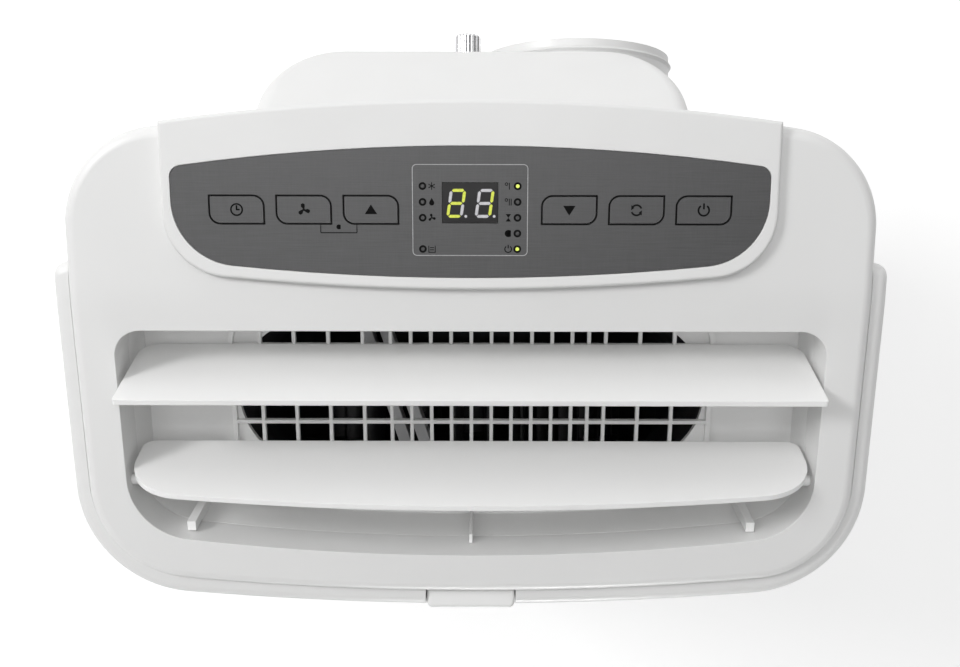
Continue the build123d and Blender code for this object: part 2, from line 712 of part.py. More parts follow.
INTAKE_HALF = BULGE_HALF - INTAKE_SIDE
INTAKE_HIGH = HEIGHT - INTAKE_DROP
INTAKE_LOW = INTAKE_HIGH - INTAKE_TALL
OUTDOOR_HALF = BULGE_HALF - OUTDOOR_SIDE
OUTDOOR_HIGH = PARTITION_LOW - OUTDOOR_DROP
COLLAR_X = BULGE_HALF - COLLAR_SIDE
COLLAR_Z = HEIGHT - COLLAR_DROP
SPOUT_Z = HEIGHT - SPOUT_DROP
PLUG_X = PORT_SIDE - BULGE_HALF
GLAND_X = BULGE_HALF - PORT_SIDE
SIDE_SLOT_LOW = PARTITION_LOW - SIDE_SLOT_DROP
PORT_FACE = BULGE_BACK + PORT_STAND
PORT_BORE = COLLAR_RADIUS - COLLAR_WALL
PORT_THROAT = PORT_BORE - PORT_LIP
with BuildPart() as rear_shell:
    with BuildSketch(Plane.XY.offset(SHELL_FOOT)):
        add(body_outline(0))
        with Locations((0, SHELL_END - LAP - DEPTH)):
            Rectangle(2 * WIDTH, 2 * DEPTH, mode=Mode.SUBTRACT)
    extrude(amount=2 * HEIGHT)
    with BuildSketch(Plane.YZ):
        add(top_band(COVER_DEPTH + SEAM, 2 * HEIGHT))
    extrude(amount=WIDTH, both=True, mode=Mode.INTERSECT)
    add(rear_bulge(0))
    add(back_hole(COLLAR_X, COLLAR_Z, COLLAR_RADIUS + PORT_BOSS, COVER_BACK, PORT_FACE))
    add(below_top(WALL, 0), mode=Mode.SUBTRACT)
    add(rear_bulge(WALL), mode=Mode.SUBTRACT)
    add(back_hole(COLLAR_X, COLLAR_Z, PORT_THROAT, BULGE_FRONT, PORT_FACE), mode=Mode.SUBTRACT)
    # Cross guard in the exhaust port
    with BuildSketch(upright(BULGE_BACK)):
        with Locations((COLLAR_X, COLLAR_Z)):
            Rectangle(2 * PORT_THROAT + WALL, GUARD_BAR)
            Rectangle(GUARD_BAR, 2 * PORT_THROAT + WALL)
    extrude(amount=GUARD_BAR)
    # Indoor and outdoor air intakes, drains and cord gland in the back face
    with BuildSketch(upright(BULGE_BACK)):
        with Locations((0, (INTAKE_LOW + INTAKE_HIGH) / 2)):
            Rectangle(2 * INTAKE_HALF, INTAKE_HIGH - INTAKE_LOW)
        with Locations((0, (OUTDOOR_LOW + OUTDOOR_HIGH) / 2)):
            Rectangle(2 * OUTDOOR_HALF, OUTDOOR_HIGH - OUTDOOR_LOW)
        with Locations((SPOUT_X, SPOUT_Z)):
            Circle(SPOUT_RADIUS + FIT)
        with Locations((PLUG_X, PLUG_Z)):
            Circle(PLUG_RADIUS + RUN)
        with Locations((GLAND_X, GLAND_Z)):
            Circle(GLAND_RADIUS + FIT)
    extrude(amount=2 * WALL, mode=Mode.SUBTRACT)
    # Slots in both sides
    with BuildSketch(Plane.YZ):
        for step in range(SIDE_SLOT_COUNT):
            with Locations((SHELL_END + SIDE_SLOT_SETBACK, SIDE_SLOT_LOW + SIDE_SLOT_PITCH * step)):
                SlotOverall(SIDE_SLOT_LENGTH, SIDE_SLOT_WIDTH)
    extrude(amount=WIDTH, both=True, mode=Mode.SUBTRACT)
save(rear_shell, "rear_shell")

# Control panel, keys and display, stacked under the face of the island
PANEL_FACE = -PANEL_SINK
BED = PANEL_FACE - PANEL_DEPTH
BOARD_FACE = -BOARD_DROP
FLANGE_FACE = -ISLAND_WALL - FIT
with BuildPart() as control_panel:
    with BuildSketch(panel_plane.offset(BED)):
        add(panel_outline(0))
        for place in key_places:
            with Locations(place):
                add(key_outline(place[0], RUN), mode=Mode.SUBTRACT)
        with Locations((0, WINDOW_ROW)):
            Rectangle(WINDOW_WIDTH + SEAM, WINDOW_HEIGHT + SEAM, mode=Mode.SUBTRACT)
        with Locations(lit_lamps + dark_lamps):
            Circle(LAMP_RADIUS + FIT, mode=Mode.SUBTRACT)
    extrude(amount=PANEL_DEPTH)
save(control_panel, "control_panel")

key_names = ("key_timer", "key_fan", "key_up", "key_down", "key_mode", "key_power")
for name, place in zip(key_names, key_places):
    with BuildPart() as key:
        with BuildSketch(panel_plane.offset(PANEL_FACE)):
            with Locations(place):
                add(key_outline(place[0], 0))
        extrude(amount=FLANGE_FACE - PANEL_FACE)
        with BuildSketch(panel_plane.offset(FLANGE_FACE)):
            with Locations(place):
                add(key_outline(place[0], KEY_FLANGE))
        extrude(amount=-KEY_FLANGE)
        with BuildSketch(panel_plane.offset(FLANGE_FACE)):
            with Locations(place):
                Circle(STEM_WIDTH / 2)
        extrude(amount=-KEY_STEM - FLANGE_FACE)
    save(key, name)

with BuildPart() as display_window:
    with BuildSketch(panel_plane.offset(PANEL_FACE)):
        with Locations((0, WINDOW_ROW)):
            Rectangle(WINDOW_WIDTH, WINDOW_HEIGHT)
    extrude(amount=-WINDOW_THICK)
save(display_window, "display_window")

with BuildPart() as display_module:
    with BuildSketch(panel_plane.offset(PANEL_FACE - WINDOW_THICK)):
        with Locations((0, WINDOW_ROW)):
            Rectangle(WINDOW_WIDTH, WINDOW_HEIGHT)
    extrude(amount=BOARD_FACE - PANEL_FACE + WINDOW_THICK)
save(display_module, "display_module")

for name, places in (("indicator_lamps_lit", lit_lamps), ("indicator_lamps", dark_lamps)):
    with BuildPart() as lamps:
        with BuildSketch(panel_plane.offset(PANEL_FACE)):
            with Locations(places):
                Circle(LAMP_RADIUS)
        extrude(amount=BOARD_FACE - PANEL_FACE)
    save(lamps, name)

with BuildPart() as display_board:
    with BuildSketch(panel_plane.offset(BOARD_FACE)):
        with Locations((0, (BOARD_FRONT + BOARD_BACK) / 2)):
            RectangleRounded(BOARD_WIDTH, BOARD_BACK - BOARD_FRONT, BOSS_RADIUS)
        with Locations(board_bosses):
            Circle(SCREW_RADIUS + FIT, mode=Mode.SUBTRACT)
    extrude(amount=-BOARD_THICK)
save(display_board, "display_board")

PLUNGER_FACE = -KEY_STEM - KEY_TRAVEL - FIT
with BuildPart() as key_switches:
    with BuildSketch(panel_plane.offset(BOARD_FACE)):
        with Locations(key_places):
            Rectangle(SWITCH_SIZE, SWITCH_SIZE)
    extrude(amount=SWITCH_HEIGHT)
    with BuildSketch(panel_plane.offset(BOARD_FACE)):
        with Locations(key_places):
            Circle(PLUNGER_WIDTH / 2)
    extrude(amount=PLUNGER_FACE - BOARD_FACE)
save(key_switches, "key_switches")

with BuildPart() as board_screws:
    with BuildSketch(panel_plane.offset(BOARD_FACE - BOARD_THICK)):
        with Locations(board_bosses):
            Circle(SCREW_HEAD)
    extrude(amount=-SCREW_HEAD / 2)
    with BuildSketch(panel_plane.offset(BOARD_FACE - BOARD_THICK)):
        with Locations(board_bosses):
            Circle(SCREW_RADIUS - FIT)
    extrude(amount=BOARD_THICK + (BOARD_DROP - ISLAND_WALL) / 2)
save(board_screws, "board_screws")

# Air outlet: recess below the collar of the cover, with its grille
GRILLE_REAR = -GRILLE_MARGIN
GRILLE_FRONT = -VENT_LENGTH + GRILLE_TOE
GRILLE_MIDDLE = (GRILLE_REAR + GRILLE_FRONT) / 2
GRILLE_LENGTH = GRILLE_REAR - GRILLE_FRONT
GRILLE_HALF = VENT_HALF - GRILLE_SIDE
MOUTH_HALF = GRILLE_HALF - MOUTH_SIDE
MOUTH_REAR = GRILLE_MARGIN + GRILLE_FRAME
MOUTH_LENGTH = GRILLE_LENGTH - 2 * GRILLE_FRAME - MOUTH_TOE


def grille_outline(inset):
    """Rounded outline of the grille on the floor of the recess."""
    with BuildSketch() as plan:
        with Locations((0, GRILLE_MIDDLE)):
            RectangleRounded(2 * (GRILLE_HALF - inset), GRILLE_LENGTH - 2 * inset, GRILLE_CORNER - inset)
    return plan.sketch


corner_rib = VENT_HALF - CORNER_RIB_SIDE
corner_wall = CORNER_RIB_SETBACK - VENT_LENGTH
wall_ribs = [
    (0, RIB_THICK, -VENT_LENGTH, RIB_TOP),
    (-corner_rib, CORNER_RIB_THICK, corner_wall, CORNER_RIB_TOP),
    (corner_rib, CORNER_RIB_THICK, corner_wall, CORNER_RIB_TOP),
]
with BuildPart() as vent_frame:
    with BuildSketch(vent_plane.offset(-LIP - SEAM)):
        add(vent_outline(-WALL))
    extrude(amount=-(RECESS - LIP - SEAM + FLOOR_WALL))
    with BuildSketch(vent_plane.offset(-LIP - SEAM)):
        add(vent_outline(0))
    extrude(amount=-(RECESS - LIP - SEAM), mode=Mode.SUBTRACT)
    with BuildSketch(vent_plane.offset(-RECESS)):
        with Locations((0, -MOUTH_REAR - MOUTH_LENGTH / 2)):
            SlotOverall(2 * MOUTH_HALF, MOUTH_LENGTH)
    extrude(amount=-FLOOR_WALL, mode=Mode.SUBTRACT)
    # Ribs on the front wall: one at the middle and one in each corner, all standing up beside the collar
    for x, thick, wall_y, top in wall_ribs:
        with BuildSketch(vent_plane.offset(-RECESS)):
            with Locations((x, wall_y + (RIB_WIDTH - WALL) / 2)):
                Rectangle(thick, RIB_WIDTH + WALL)
        extrude(amount=RECESS - LIP - 2 * SEAM)
        with BuildSketch(vent_plane.offset(-LIP - 2 * SEAM)):
            with Locations((x, wall_y + (RIB_WIDTH + SEAM) / 2)):
                Rectangle(thick, RIB_WIDTH - SEAM)
        extrude(amount=LIP + 2 * SEAM - top)
save(vent_frame, "vent_frame")

steps = [FIRST_BAR] + [LEFT_PITCH] * LEFT_STEPS + [FIRST_STEP] + [CLOSE_PITCH] * CLOSE_STEPS
steps += [NEXT_PITCH] * NEXT_STEPS + [RIGHT_PITCH] * RIGHT_STEPS
columns = [sum(steps[: count + 1]) - GRILLE_HALF for count in range(len(steps))]
columns = [x for x in columns if x < GRILLE_HALF - GRILLE_FRAME]
row_count = int((GRILLE_LENGTH - FIRST_ROW) / ROW_PITCH) + 1
rows = [GRILLE_REAR - FIRST_ROW - ROW_PITCH * step for step in range(row_count)]
with BuildPart() as outlet_grille:
    with BuildSketch(vent_plane.offset(-RECESS)):
        add(grille_outline(0))
        add(grille_outline(GRILLE_FRAME), mode=Mode.SUBTRACT)
        with Locations([(x, GRILLE_MIDDLE) for x in columns]):
            Rectangle(GRILLE_BAR, GRILLE_LENGTH - GRILLE_FRAME)
        with Locations([(0, y) for y in rows]):
            Rectangle(2 * GRILLE_HALF - GRILLE_FRAME, GRILLE_BAR)
    extrude(amount=GRILLE_THICK)
save(outlet_grille, "outlet_grille")

# Louvres, drawn as they stand open; local z of the louvre plane leaves its outer face
upper_plane = tilted_plane(upper_pivot[0], upper_pivot[1], -LOUVRE_TILT)
lower_plane = tilted_plane(lower_pivot[0], lower_pivot[1], -LOUVRE_TILT)
PIN_END = VENT_HALF + WALL + SEAM
CRANK_FACE = PIN_END + SEAM
LINK_FACE = CRANK_FACE + CRANK_THICK + SEAM
ARM_OUTER = LOUVRE_HALF - ARM_INSET


def louvre(plane, plan, rear, front):
    """Louvre plate with end and middle arms, hubs and pivot pins; rear and front are plate edges."""
    with BuildPart() as blade:
        with BuildSketch(plane.offset(PIVOT_DEPTH)):
            add(plan)
        extrude(amount=-LOUVRE_THICK)
        for x in (-ARM_OUTER, -ARM_THICK / 2, ARM_OUTER - ARM_THICK):
            side_plane = Plane(
                origin=plane.origin + Vector(x, 0, 0), x_dir=plane.y_dir, z_dir=(1, 0, 0)
            )
            with BuildSketch(side_plane):
                with BuildLine():
                    Polyline(
                        (rear * ARM_SHARE, PIVOT_DEPTH - LOUVRE_THICK),
                        (front * ARM_SHARE, PIVOT_DEPTH - LOUVRE_THICK),
                        (-HUB_RADIUS, 0),
                        (HUB_RADIUS, 0),
                        close=True,
                    )
                make_face()
                Circle(HUB_RADIUS)
            extrude(amount=ARM_THICK)
        pin_plane = Plane(origin=plane.origin, x_dir=plane.y_dir, z_dir=(1, 0, 0))
        with BuildSketch(pin_plane.offset(ARM_OUTER - ARM_THICK)):
            Circle(PIN_RADIUS)
        extrude(amount=CRANK_FACE + CRANK_THICK - ARM_OUTER + ARM_THICK)
        with BuildSketch(pin_plane.offset(ARM_THICK - ARM_OUTER)):
            Circle(PIN_RADIUS)
        extrude(amount=-(PIN_END - ARM_OUTER + ARM_THICK))
    return blade


upper_rear = UPPER_PIVOT - LOUVRE_GAP
upper_front = upper_rear - LOUVRE_CHORD
with BuildSketch() as upper_plan:
    with Locations((0, (upper_rear + upper_front) / 2)):
        Rectangle(2 * LOUVRE_HALF, LOUVRE_CHORD)
    fillet(upper_plan.vertices().group_by(Axis.Y)[-1], LOUVRE_CORNER - LOUVRE_GAP)
    fillet(upper_plan.vertices().group_by(Axis.Y)[0], LOUVRE_TIP)
upper_louvre = louvre(upper_plane, upper_plan.sketch, upper_rear, upper_front)
save(upper_louvre, "upper_louvre")

lower_rear = LOWER_PIVOT - LOUVRE_GAP - LOUVRE_CHORD - LOUVRE_SPLIT
lower_front = lower_rear - LOUVRE_CHORD
with BuildSketch() as lower_plan:
    with BuildLine():
        Line((-LOUVRE_HALF, lower_rear), (LOUVRE_HALF, lower_rear))
        Line((LOUVRE_HALF, lower_rear), (LOUVRE_HALF, lower_front + VENT_BOW))
        ThreePointArc(
            (LOUVRE_HALF, lower_front + VENT_BOW), (0, lower_front), (-LOUVRE_HALF, lower_front + VENT_BOW)
        )
        Line((-LOUVRE_HALF, lower_front + VENT_BOW), (-LOUVRE_HALF, lower_rear))
    make_face()
    fillet(lower_plan.vertices().group_by(Axis.Y)[-1], LOUVRE_CORNER / 2)
    fillet(lower_plan.vertices().group_by(Axis.Y)[0], VENT_FRONT_CORNER - LOUVRE_GAP)
lower_louvre = louvre(lower_plane, lower_plan.sketch, lower_rear, lower_front)
save(lower_louvre, "lower_louvre")


# Cranks on the louvre pins, and the link that keeps the louvres in step
def crank_pin(pivot):
    """Place (y, z) of the crank pin that belongs to a louvre pivot."""
    turn = radians(CRANK_ANGLE)
    return pivot[0] + CRANK_THROW * cos(turn), pivot[1] + CRANK_THROW * sin(turn)


for name, pivot in (("upper_crank", upper_pivot), ("lower_crank", lower_pivot)):
    with BuildPart() as crank:
        with BuildSketch(Plane.YZ.offset(CRANK_FACE)):
            with Locations(pivot):
                Circle(HUB_RADIUS + WALL / 2)
            with Locations(crank_pin(pivot)):
                Circle(LINK_WIDTH / 2)
            make_hull()
            with Locations(pivot):
                Circle(PIN_RADIUS + FIT, mode=Mode.SUBTRACT)
        extrude(amount=CRANK_THICK)
        with BuildSketch(Plane.YZ.offset(CRANK_FACE + CRANK_THICK)):
            with Locations(crank_pin(pivot)):
                Circle(CRANK_PIN)
        extrude(amount=CRANK_THICK + 2 * SEAM)
    save(crank, name)

with BuildPart() as louvre_link:
    with BuildSketch(Plane.YZ.offset(LINK_FACE)):
        with Locations(crank_pin(upper_pivot), crank_pin(lower_pivot)):
            Circle(LINK_WIDTH / 2)
        make_hull()
        with Locations(crank_pin(upper_pivot)):
            Circle(CRANK_PIN + FIT, mode=Mode.SUBTRACT)
        with Locations(crank_pin(lower_pivot)):
            Circle(CRANK_PIN + RUN, mode=Mode.SUBTRACT)
    extrude(amount=CRANK_THICK)
save(louvre_link, "louvre_link")


# Removable intake grille with its filter, and the fixed outdoor grille
def slatted_grille(half, low, high):
    """Frame with tilted horizontal slats, flush with the back face."""
    middle = (low + high) / 2
    count = int((high - low - 2 * FRAME_WIDTH) / SLAT_PITCH)
    tilt = radians(SLAT_TILT)
    slat_length = (SLAT_DEPTH - SLAT_THICK * sin(tilt)) / cos(tilt)
    with BuildPart() as grille:
        with BuildSketch(upright(BULGE_BACK)):
            with Locations((0, middle)):
                Rectangle(2 * (half - RUN), high - low - 2 * RUN)
                Rectangle(2 * (half - FRAME_WIDTH), high - low - 2 * FRAME_WIDTH, mode=Mode.SUBTRACT)
        extrude(amount=SLAT_DEPTH)
        with BuildSketch(Plane.YZ):
            for step in range(count):
                with Locations((BULGE_BACK - SLAT_DEPTH / 2, middle + SLAT_PITCH * (step - (count - 1) / 2))):
                    Rectangle(slat_length, SLAT_THICK, rotation=-SLAT_TILT)
        extrude(amount=half - FRAME_WIDTH + SEAM, both=True)
    return grille


intake_grille = slatted_grille(INTAKE_HALF, INTAKE_LOW, INTAKE_HIGH)
save(intake_grille, "intake_grille")
condenser_grille = slatted_grille(OUTDOOR_HALF, OUTDOOR_LOW, OUTDOOR_HIGH)
save(condenser_grille, "condenser_grille")

with BuildPart() as filter_mesh:
    with BuildSketch(upright(BULGE_BACK - SLAT_DEPTH)):
        with Locations((0, (INTAKE_LOW + INTAKE_HIGH) / 2)):
            Rectangle(2 * INTAKE_HALF - FRAME_WIDTH, INTAKE_HIGH - INTAKE_LOW - FRAME_WIDTH)
    extrude(amount=FILTER_THICK)
save(filter_mesh, "filter_mesh")


# Exhaust collar, drain spout, drain plug and cord gland on the back
def turned(x, z, profile):
    """Piece turned about an axis along Y at (x, z), from (radius, y) points."""
    with BuildPart() as piece:
        with BuildSketch(Plane.XY.offset(z)):
            with BuildLine():
                Polyline(*[(x + radius, y) for radius, y in profile], close=True)
            make_face()
        revolve(axis=Axis((x, 0, z), (0, 1, 0)))
    return piece


COLLAR_ROOT = PORT_FACE + FLANGE_THICK
BEAD_Y = COLLAR_RIM - 2 * FLANGE_THICK
exhaust_collar = turned(
    COLLAR_X,
    COLLAR_Z,
    [
        (PORT_BORE, PORT_FACE),
        (COLLAR_RADIUS + PORT_BOSS, PORT_FACE),
        (COLLAR_RADIUS + PORT_BOSS, COLLAR_ROOT),
        (COLLAR_RADIUS, COLLAR_ROOT),
        (COLLAR_RADIUS, BEAD_Y - COLLAR_BEAD),
        (COLLAR_RADIUS + COLLAR_BEAD, BEAD_Y),
        (COLLAR_RADIUS, BEAD_Y + COLLAR_BEAD),
        (COLLAR_RADIUS, COLLAR_RIM),
        (PORT_BORE, COLLAR_RIM),
    ],
)
save(exhaust_collar, "exhaust_collar")

SPOUT_ROOT = BULGE_BACK - 2 * WALL
SPOUT_TIP = BULGE_BACK + SPOUT_REACH
drain_spout = turned(
    SPOUT_X,
    SPOUT_Z,
    [
        (SPOUT_BORE, SPOUT_ROOT),
        (SPOUT_RADIUS, SPOUT_ROOT),
        (SPOUT_RADIUS, BULGE_BACK),
        (SPOUT_RADIUS + SPOUT_FLANGE, BULGE_BACK),
        (SPOUT_RADIUS + SPOUT_FLANGE, BULGE_BACK + FLANGE_THICK),
        (SPOUT_RADIUS, BULGE_BACK + FLANGE_THICK),
        (SPOUT_RADIUS, SPOUT_TIP - SPOUT_BEVEL),
        (SPOUT_RADIUS - SPOUT_BEVEL, SPOUT_TIP),
        (SPOUT_BORE, SPOUT_TIP),
    ],
)
save(drain_spout, "drain_spout")

drain_plug = turned(
    PLUG_X,
    PLUG_Z,
    [
        (0, BULGE_BACK - 2 * FLANGE_THICK),
        (PLUG_RADIUS, BULGE_BACK - 2 * FLANGE_THICK),
        (PLUG_RADIUS, BULGE_BACK),
        (PLUG_RADIUS + SPOUT_FLANGE, BULGE_BACK),
        (PLUG_RADIUS + SPOUT_FLANGE, BULGE_BACK + FLANGE_THICK),
        (PLUG_RADIUS / 2, BULGE_BACK + FLANGE_THICK),
        (PLUG_RADIUS / 2, BULGE_BACK + 3 * FLANGE_THICK),
        (0, BULGE_BACK + 3 * FLANGE_THICK),
    ],
)
save(drain_plug, "drain_plug")

cord_gland = turned(
    GLAND_X,
    GLAND_Z,
    [
        (GLAND_BORE, BULGE_BACK - 2 * FLANGE_THICK),
        (GLAND_RADIUS, BULGE_BACK - 2 * FLANGE_THICK),
        (GLAND_RADIUS, BULGE_BACK),
        (GLAND_RADIUS + SPOUT_FLANGE, BULGE_BACK),
        (GLAND_RADIUS + SPOUT_FLANGE, BULGE_BACK + FLANGE_THICK),
        (GLAND_BORE + WALL, BULGE_BACK + 2 * FLANGE_THICK),
        (GLAND_BORE, BULGE_BACK + 2 * FLANGE_THICK),
    ],
)
save(cord_gland, "cord_gland")

# Base pan with sockets for the castors
CASTOR_FRONT_X = COVER_HALF - CASTOR_FRONT_SIDE
CASTOR_FRONT_Y = COVER_FRONT + CASTOR_FRONT_SETBACK
CASTOR_REAR_X = BULGE_HALF - CASTOR_REAR_SIDE
CASTOR_REAR_Y = BULGE_BACK - CASTOR_REAR_SETBACK
castor_places = {
    "front_left": (-CASTOR_FRONT_X, CASTOR_FRONT_Y),
    "front_right": (CASTOR_FRONT_X, CASTOR_FRONT_Y),
    "rear_left": (-CASTOR_REAR_X, CASTOR_REAR_Y),
    "rear_right": (CASTOR_REAR_X, CASTOR_REAR_Y),
}
SOCKET_TOP = CASTOR_HEIGHT + STEM_LENGTH + PAN_FLOOR
with BuildPart() as base_pan:
    with BuildSketch(Plane.XY.offset(CASTOR_HEIGHT)):
        add(body_outline(WALL + SEAM))
        add(bulge_plan(WALL + SEAM))
    extrude(amount=PAN_WALL)
    with BuildSketch(Plane.XY.offset(PAN_TOP)):
        add(body_outline(2 * WALL + SEAM))
        add(bulge_plan(2 * WALL + SEAM))
    extrude(amount=PAN_WALL, mode=Mode.SUBTRACT)
    # Ledge under the lower edges of the shells
    with BuildSketch(Plane.XY.offset(CASTOR_HEIGHT)):
        add(body_outline(WALL / 2 - RIM))
        with Locations((0, SHELL_END - WALL / 2 + DEPTH)):
            Rectangle(2 * WIDTH, 2 * DEPTH, mode=Mode.SUBTRACT)
        add(body_outline(WALL / 2))
        add(bulge_plan(WALL / 2))
        add(body_outline(2 * WALL + SEAM), mode=Mode.SUBTRACT)
        add(bulge_plan(2 * WALL + SEAM), mode=Mode.SUBTRACT)
    extrude(amount=SHELL_LIFT)
    # Castor sockets
    with BuildSketch(Plane.XY.offset(CASTOR_HEIGHT)):
        with Locations(*castor_places.values()):
            Circle(STEM_RADIUS + SOCKET_WALL)
    extrude(amount=SOCKET_TOP - CASTOR_HEIGHT)
    with BuildSketch(Plane.XY.offset(CASTOR_HEIGHT)):
        with Locations(*castor_places.values()):
            Circle(STEM_RADIUS + FIT)
    extrude(amount=STEM_LENGTH, mode=Mode.SUBTRACT)
save(base_pan, "base_pan")

# Castors: a hood that swivels on its stem, and a pair of wheels on one axle
HOOD_TOP = CASTOR_HEIGHT - RUN
HOOD_LOW = HOOD_TOP - HOOD_HEIGHT
WHEEL_FACE = WEB_THICK / 2 + RUN
for name, (x, y) in castor_places.items():
    axle_y = y + TRAIL
    with BuildPart() as castor_hood:
        with BuildSketch(Plane.XY.offset(HOOD_LOW)):
            with Locations((x, y)):
                Circle(HOOD_RADIUS)
        extrude(amount=HOOD_HEIGHT)
        with BuildSketch(Plane.XY.offset(HOOD_TOP)):
            with Locations((x, y)):
                Circle(STEM_RADIUS)
        extrude(amount=STEM_LENGTH - FIT)
        with BuildSketch(Plane.YZ.offset(x - WEB_THICK / 2)):
            with BuildLine():
                Polyline(
                    (y - HOOD_RADIUS / 2, HOOD_TOP - SEAM),
                    (y - HOOD_RADIUS / 2, HOOD_LOW),
                    (axle_y - 2 * AXLE_RADIUS, WHEEL_RADIUS),
                    (axle_y + 2 * AXLE_RADIUS, WHEEL_RADIUS),
                    (axle_y, HOOD_TOP - SEAM),
                    close=True,
                )
            make_face()
            with Locations((axle_y, WHEEL_RADIUS)):
                Circle(2 * AXLE_RADIUS)
                Circle(AXLE_RADIUS + FIT, mode=Mode.SUBTRACT)
        extrude(amount=WEB_THICK)
    save(castor_hood, f"castor_hood_{name}")
    with BuildPart() as castor_wheels:
        with BuildSketch(Plane.YZ.offset(x)):
            with Locations((axle_y, WHEEL_RADIUS)):
                Circle(AXLE_RADIUS)
        extrude(amount=WHEEL_FACE + WHEEL_WIDTH / 2, both=True)
        for side in (-1, 1):
            with BuildSketch(Plane.YZ.offset(x + side * WHEEL_FACE)):
                with Locations((axle_y, WHEEL_RADIUS)):
                    Circle(WHEEL_RADIUS)
            extrude(amount=side * WHEEL_WIDTH)
        rims = castor_wheels.edges().filter_by(GeomType.CIRCLE)
        chamfer(rims.filter_by(lambda edge: edge.radius > WHEEL_RADIUS - SEAM), WHEEL_BEVEL)
    save(castor_wheels, f"castor_wheels_{name}")


# Fans: forward-curved wheels on motor shafts that run along Y
def blade_plan(radius):
    """Section of one curved blade at the rim of a wheel, near local +x."""
    root = radius - BLADE_DEPTH
    middle = radius - BLADE_DEPTH / 2
    with BuildSketch() as plan:
        with BuildLine():
            ThreePointArc((root, 0), (middle, -BLADE_BOW), (radius, 0))
            Line((radius, 0), (radius, BLADE_THICK))
            ThreePointArc((radius, BLADE_THICK), (middle, BLADE_THICK - BLADE_BOW), (root, BLADE_THICK))
            Line((root, BLADE_THICK), (root, 0))
        make_face()
    return plan.sketch


def fan_wheel(x, z, disc_y, length, radius):
    """Wheel with its disc on the motor side at disc_y, and a ring at the open end behind."""
    blade = blade_plan(radius)
    with BuildPart() as wheel:
        with BuildSketch(upright(disc_y)):
            with Locations((x, z)):
                Circle(radius)
        extrude(amount=-DISC_THICK)
        with BuildSketch(upright(disc_y)):
            with Locations((x, z)):
                with PolarLocations(0, BLADE_COUNT):
                    add(blade)
        extrude(amount=-length)
        with BuildSketch(upright(disc_y + length)):
            with Locations((x, z)):
                Circle(radius + BLADE_THICK)
                Circle(radius - BLADE_DEPTH / 2, mode=Mode.SUBTRACT)
        extrude(amount=DISC_THICK)
        with BuildSketch(upright(disc_y)):
            with Locations((x, z)):
                Circle(FAN_HUB)
        extrude(amount=-FAN_HUB_LENGTH)
        with BuildSketch(upright(disc_y)):
            with Locations((x, z)):
                Circle(SHAFT_RADIUS + FIT)
        extrude(amount=-FAN_HUB_LENGTH, mode=Mode.SUBTRACT)
    return wheel


def fan_motor(x, z, face_y, shaft_end):
    """Motor in front of a housing's plate, with its shaft running back into the wheel."""
    with BuildPart() as motor:
        with BuildSketch(upright(face_y)):
            with Locations((x, z)):
                Circle(MOTOR_RADIUS)
        extrude(amount=MOTOR_LENGTH)
        chamfer(motor.edges().filter_by(GeomType.CIRCLE).sort_by(Axis.Y)[0], MOTOR_BEVEL)
        with BuildSketch(upright(face_y)):
            with Locations((x, z)):
                Circle(SHAFT_RADIUS)
        extrude(amount=face_y - shaft_end)
    return motor


BLOWER_Z = HEIGHT - BLOWER_DROP
BLOWER_CHAMBER = MOUTH_HALF - BLOWER_CHAMBER_SIDE
BLOWER_RADIUS = BLOWER_CHAMBER - BLOWER_SCROLL
BLOWER_EYE = BLOWER_RADIUS - BLOWER_RING
BLOWER_BACK = vent_point(MOUTH_REAR, RECESS + FLOOR_WALL)[0] + DUCT_ROOM + DUCT_WALL
BLOWER_FRONT = vent_point(MOUTH_REAR + MOUTH_LENGTH, RECESS + FLOOR_WALL)[0] - DUCT_ROOM - DUCT_WALL
BLOWER_LENGTH = BLOWER_BACK - BLOWER_FRONT - BLOWER_ROOM
BLOWER_DISC = BLOWER_FRONT + DUCT_WALL + FAN_SPACE
blower_wheel = fan_wheel(0, BLOWER_Z, BLOWER_DISC, BLOWER_LENGTH, BLOWER_RADIUS)
save(blower_wheel, "blower_wheel")
blower_motor = fan_motor(0, BLOWER_Z, BLOWER_FRONT, BLOWER_DISC + FAN_HUB_LENGTH)
save(blower_motor, "blower_motor")

COOLER_X = COLLAR_X - COOLER_OFFSET
COOLER_Z = (PAN_TOP + PARTITION_LOW) / 2 + COOLER_RISE
COOLER_BACK = BULGE_BACK - COOLER_SETBACK
COOLER_FRONT = COOLER_BACK - COOLER_DEPTH
COOLER_DISC = COOLER_FRONT + DUCT_WALL + FAN_SPACE
condenser_wheel = fan_wheel(COOLER_X, COOLER_Z, COOLER_DISC, COOLER_LENGTH, COOLER_RADIUS)
save(condenser_wheel, "condenser_wheel")
condenser_motor = fan_motor(COOLER_X, COOLER_Z, COOLER_FRONT, COOLER_DISC + FAN_HUB_LENGTH)
save(condenser_motor, "condenser_motor")


# Indoor fan housing: round chamber with a duct up to the mouth in the recess floor
def blower_space(inset):
    """Chamber and duct of the indoor fan, drawn inset from their outer faces."""
    front = BLOWER_FRONT + inset
    back = BLOWER_BACK - inset
    with BuildPart() as space:
        with BuildSketch(upright(back)):
            with Locations((0, BLOWER_Z)):
                Circle(BLOWER_CHAMBER + DUCT_WALL - inset)
        extrude(amount=back - front)
        with BuildSketch(Plane.XY.offset(BLOWER_Z + inset)):
            with Locations((0, (front + back) / 2)):
                SlotOverall(2 * (MOUTH_HALF + DUCT_WALL - inset), back - front)
        extrude(amount=HEIGHT - BLOWER_Z)
    return space.part


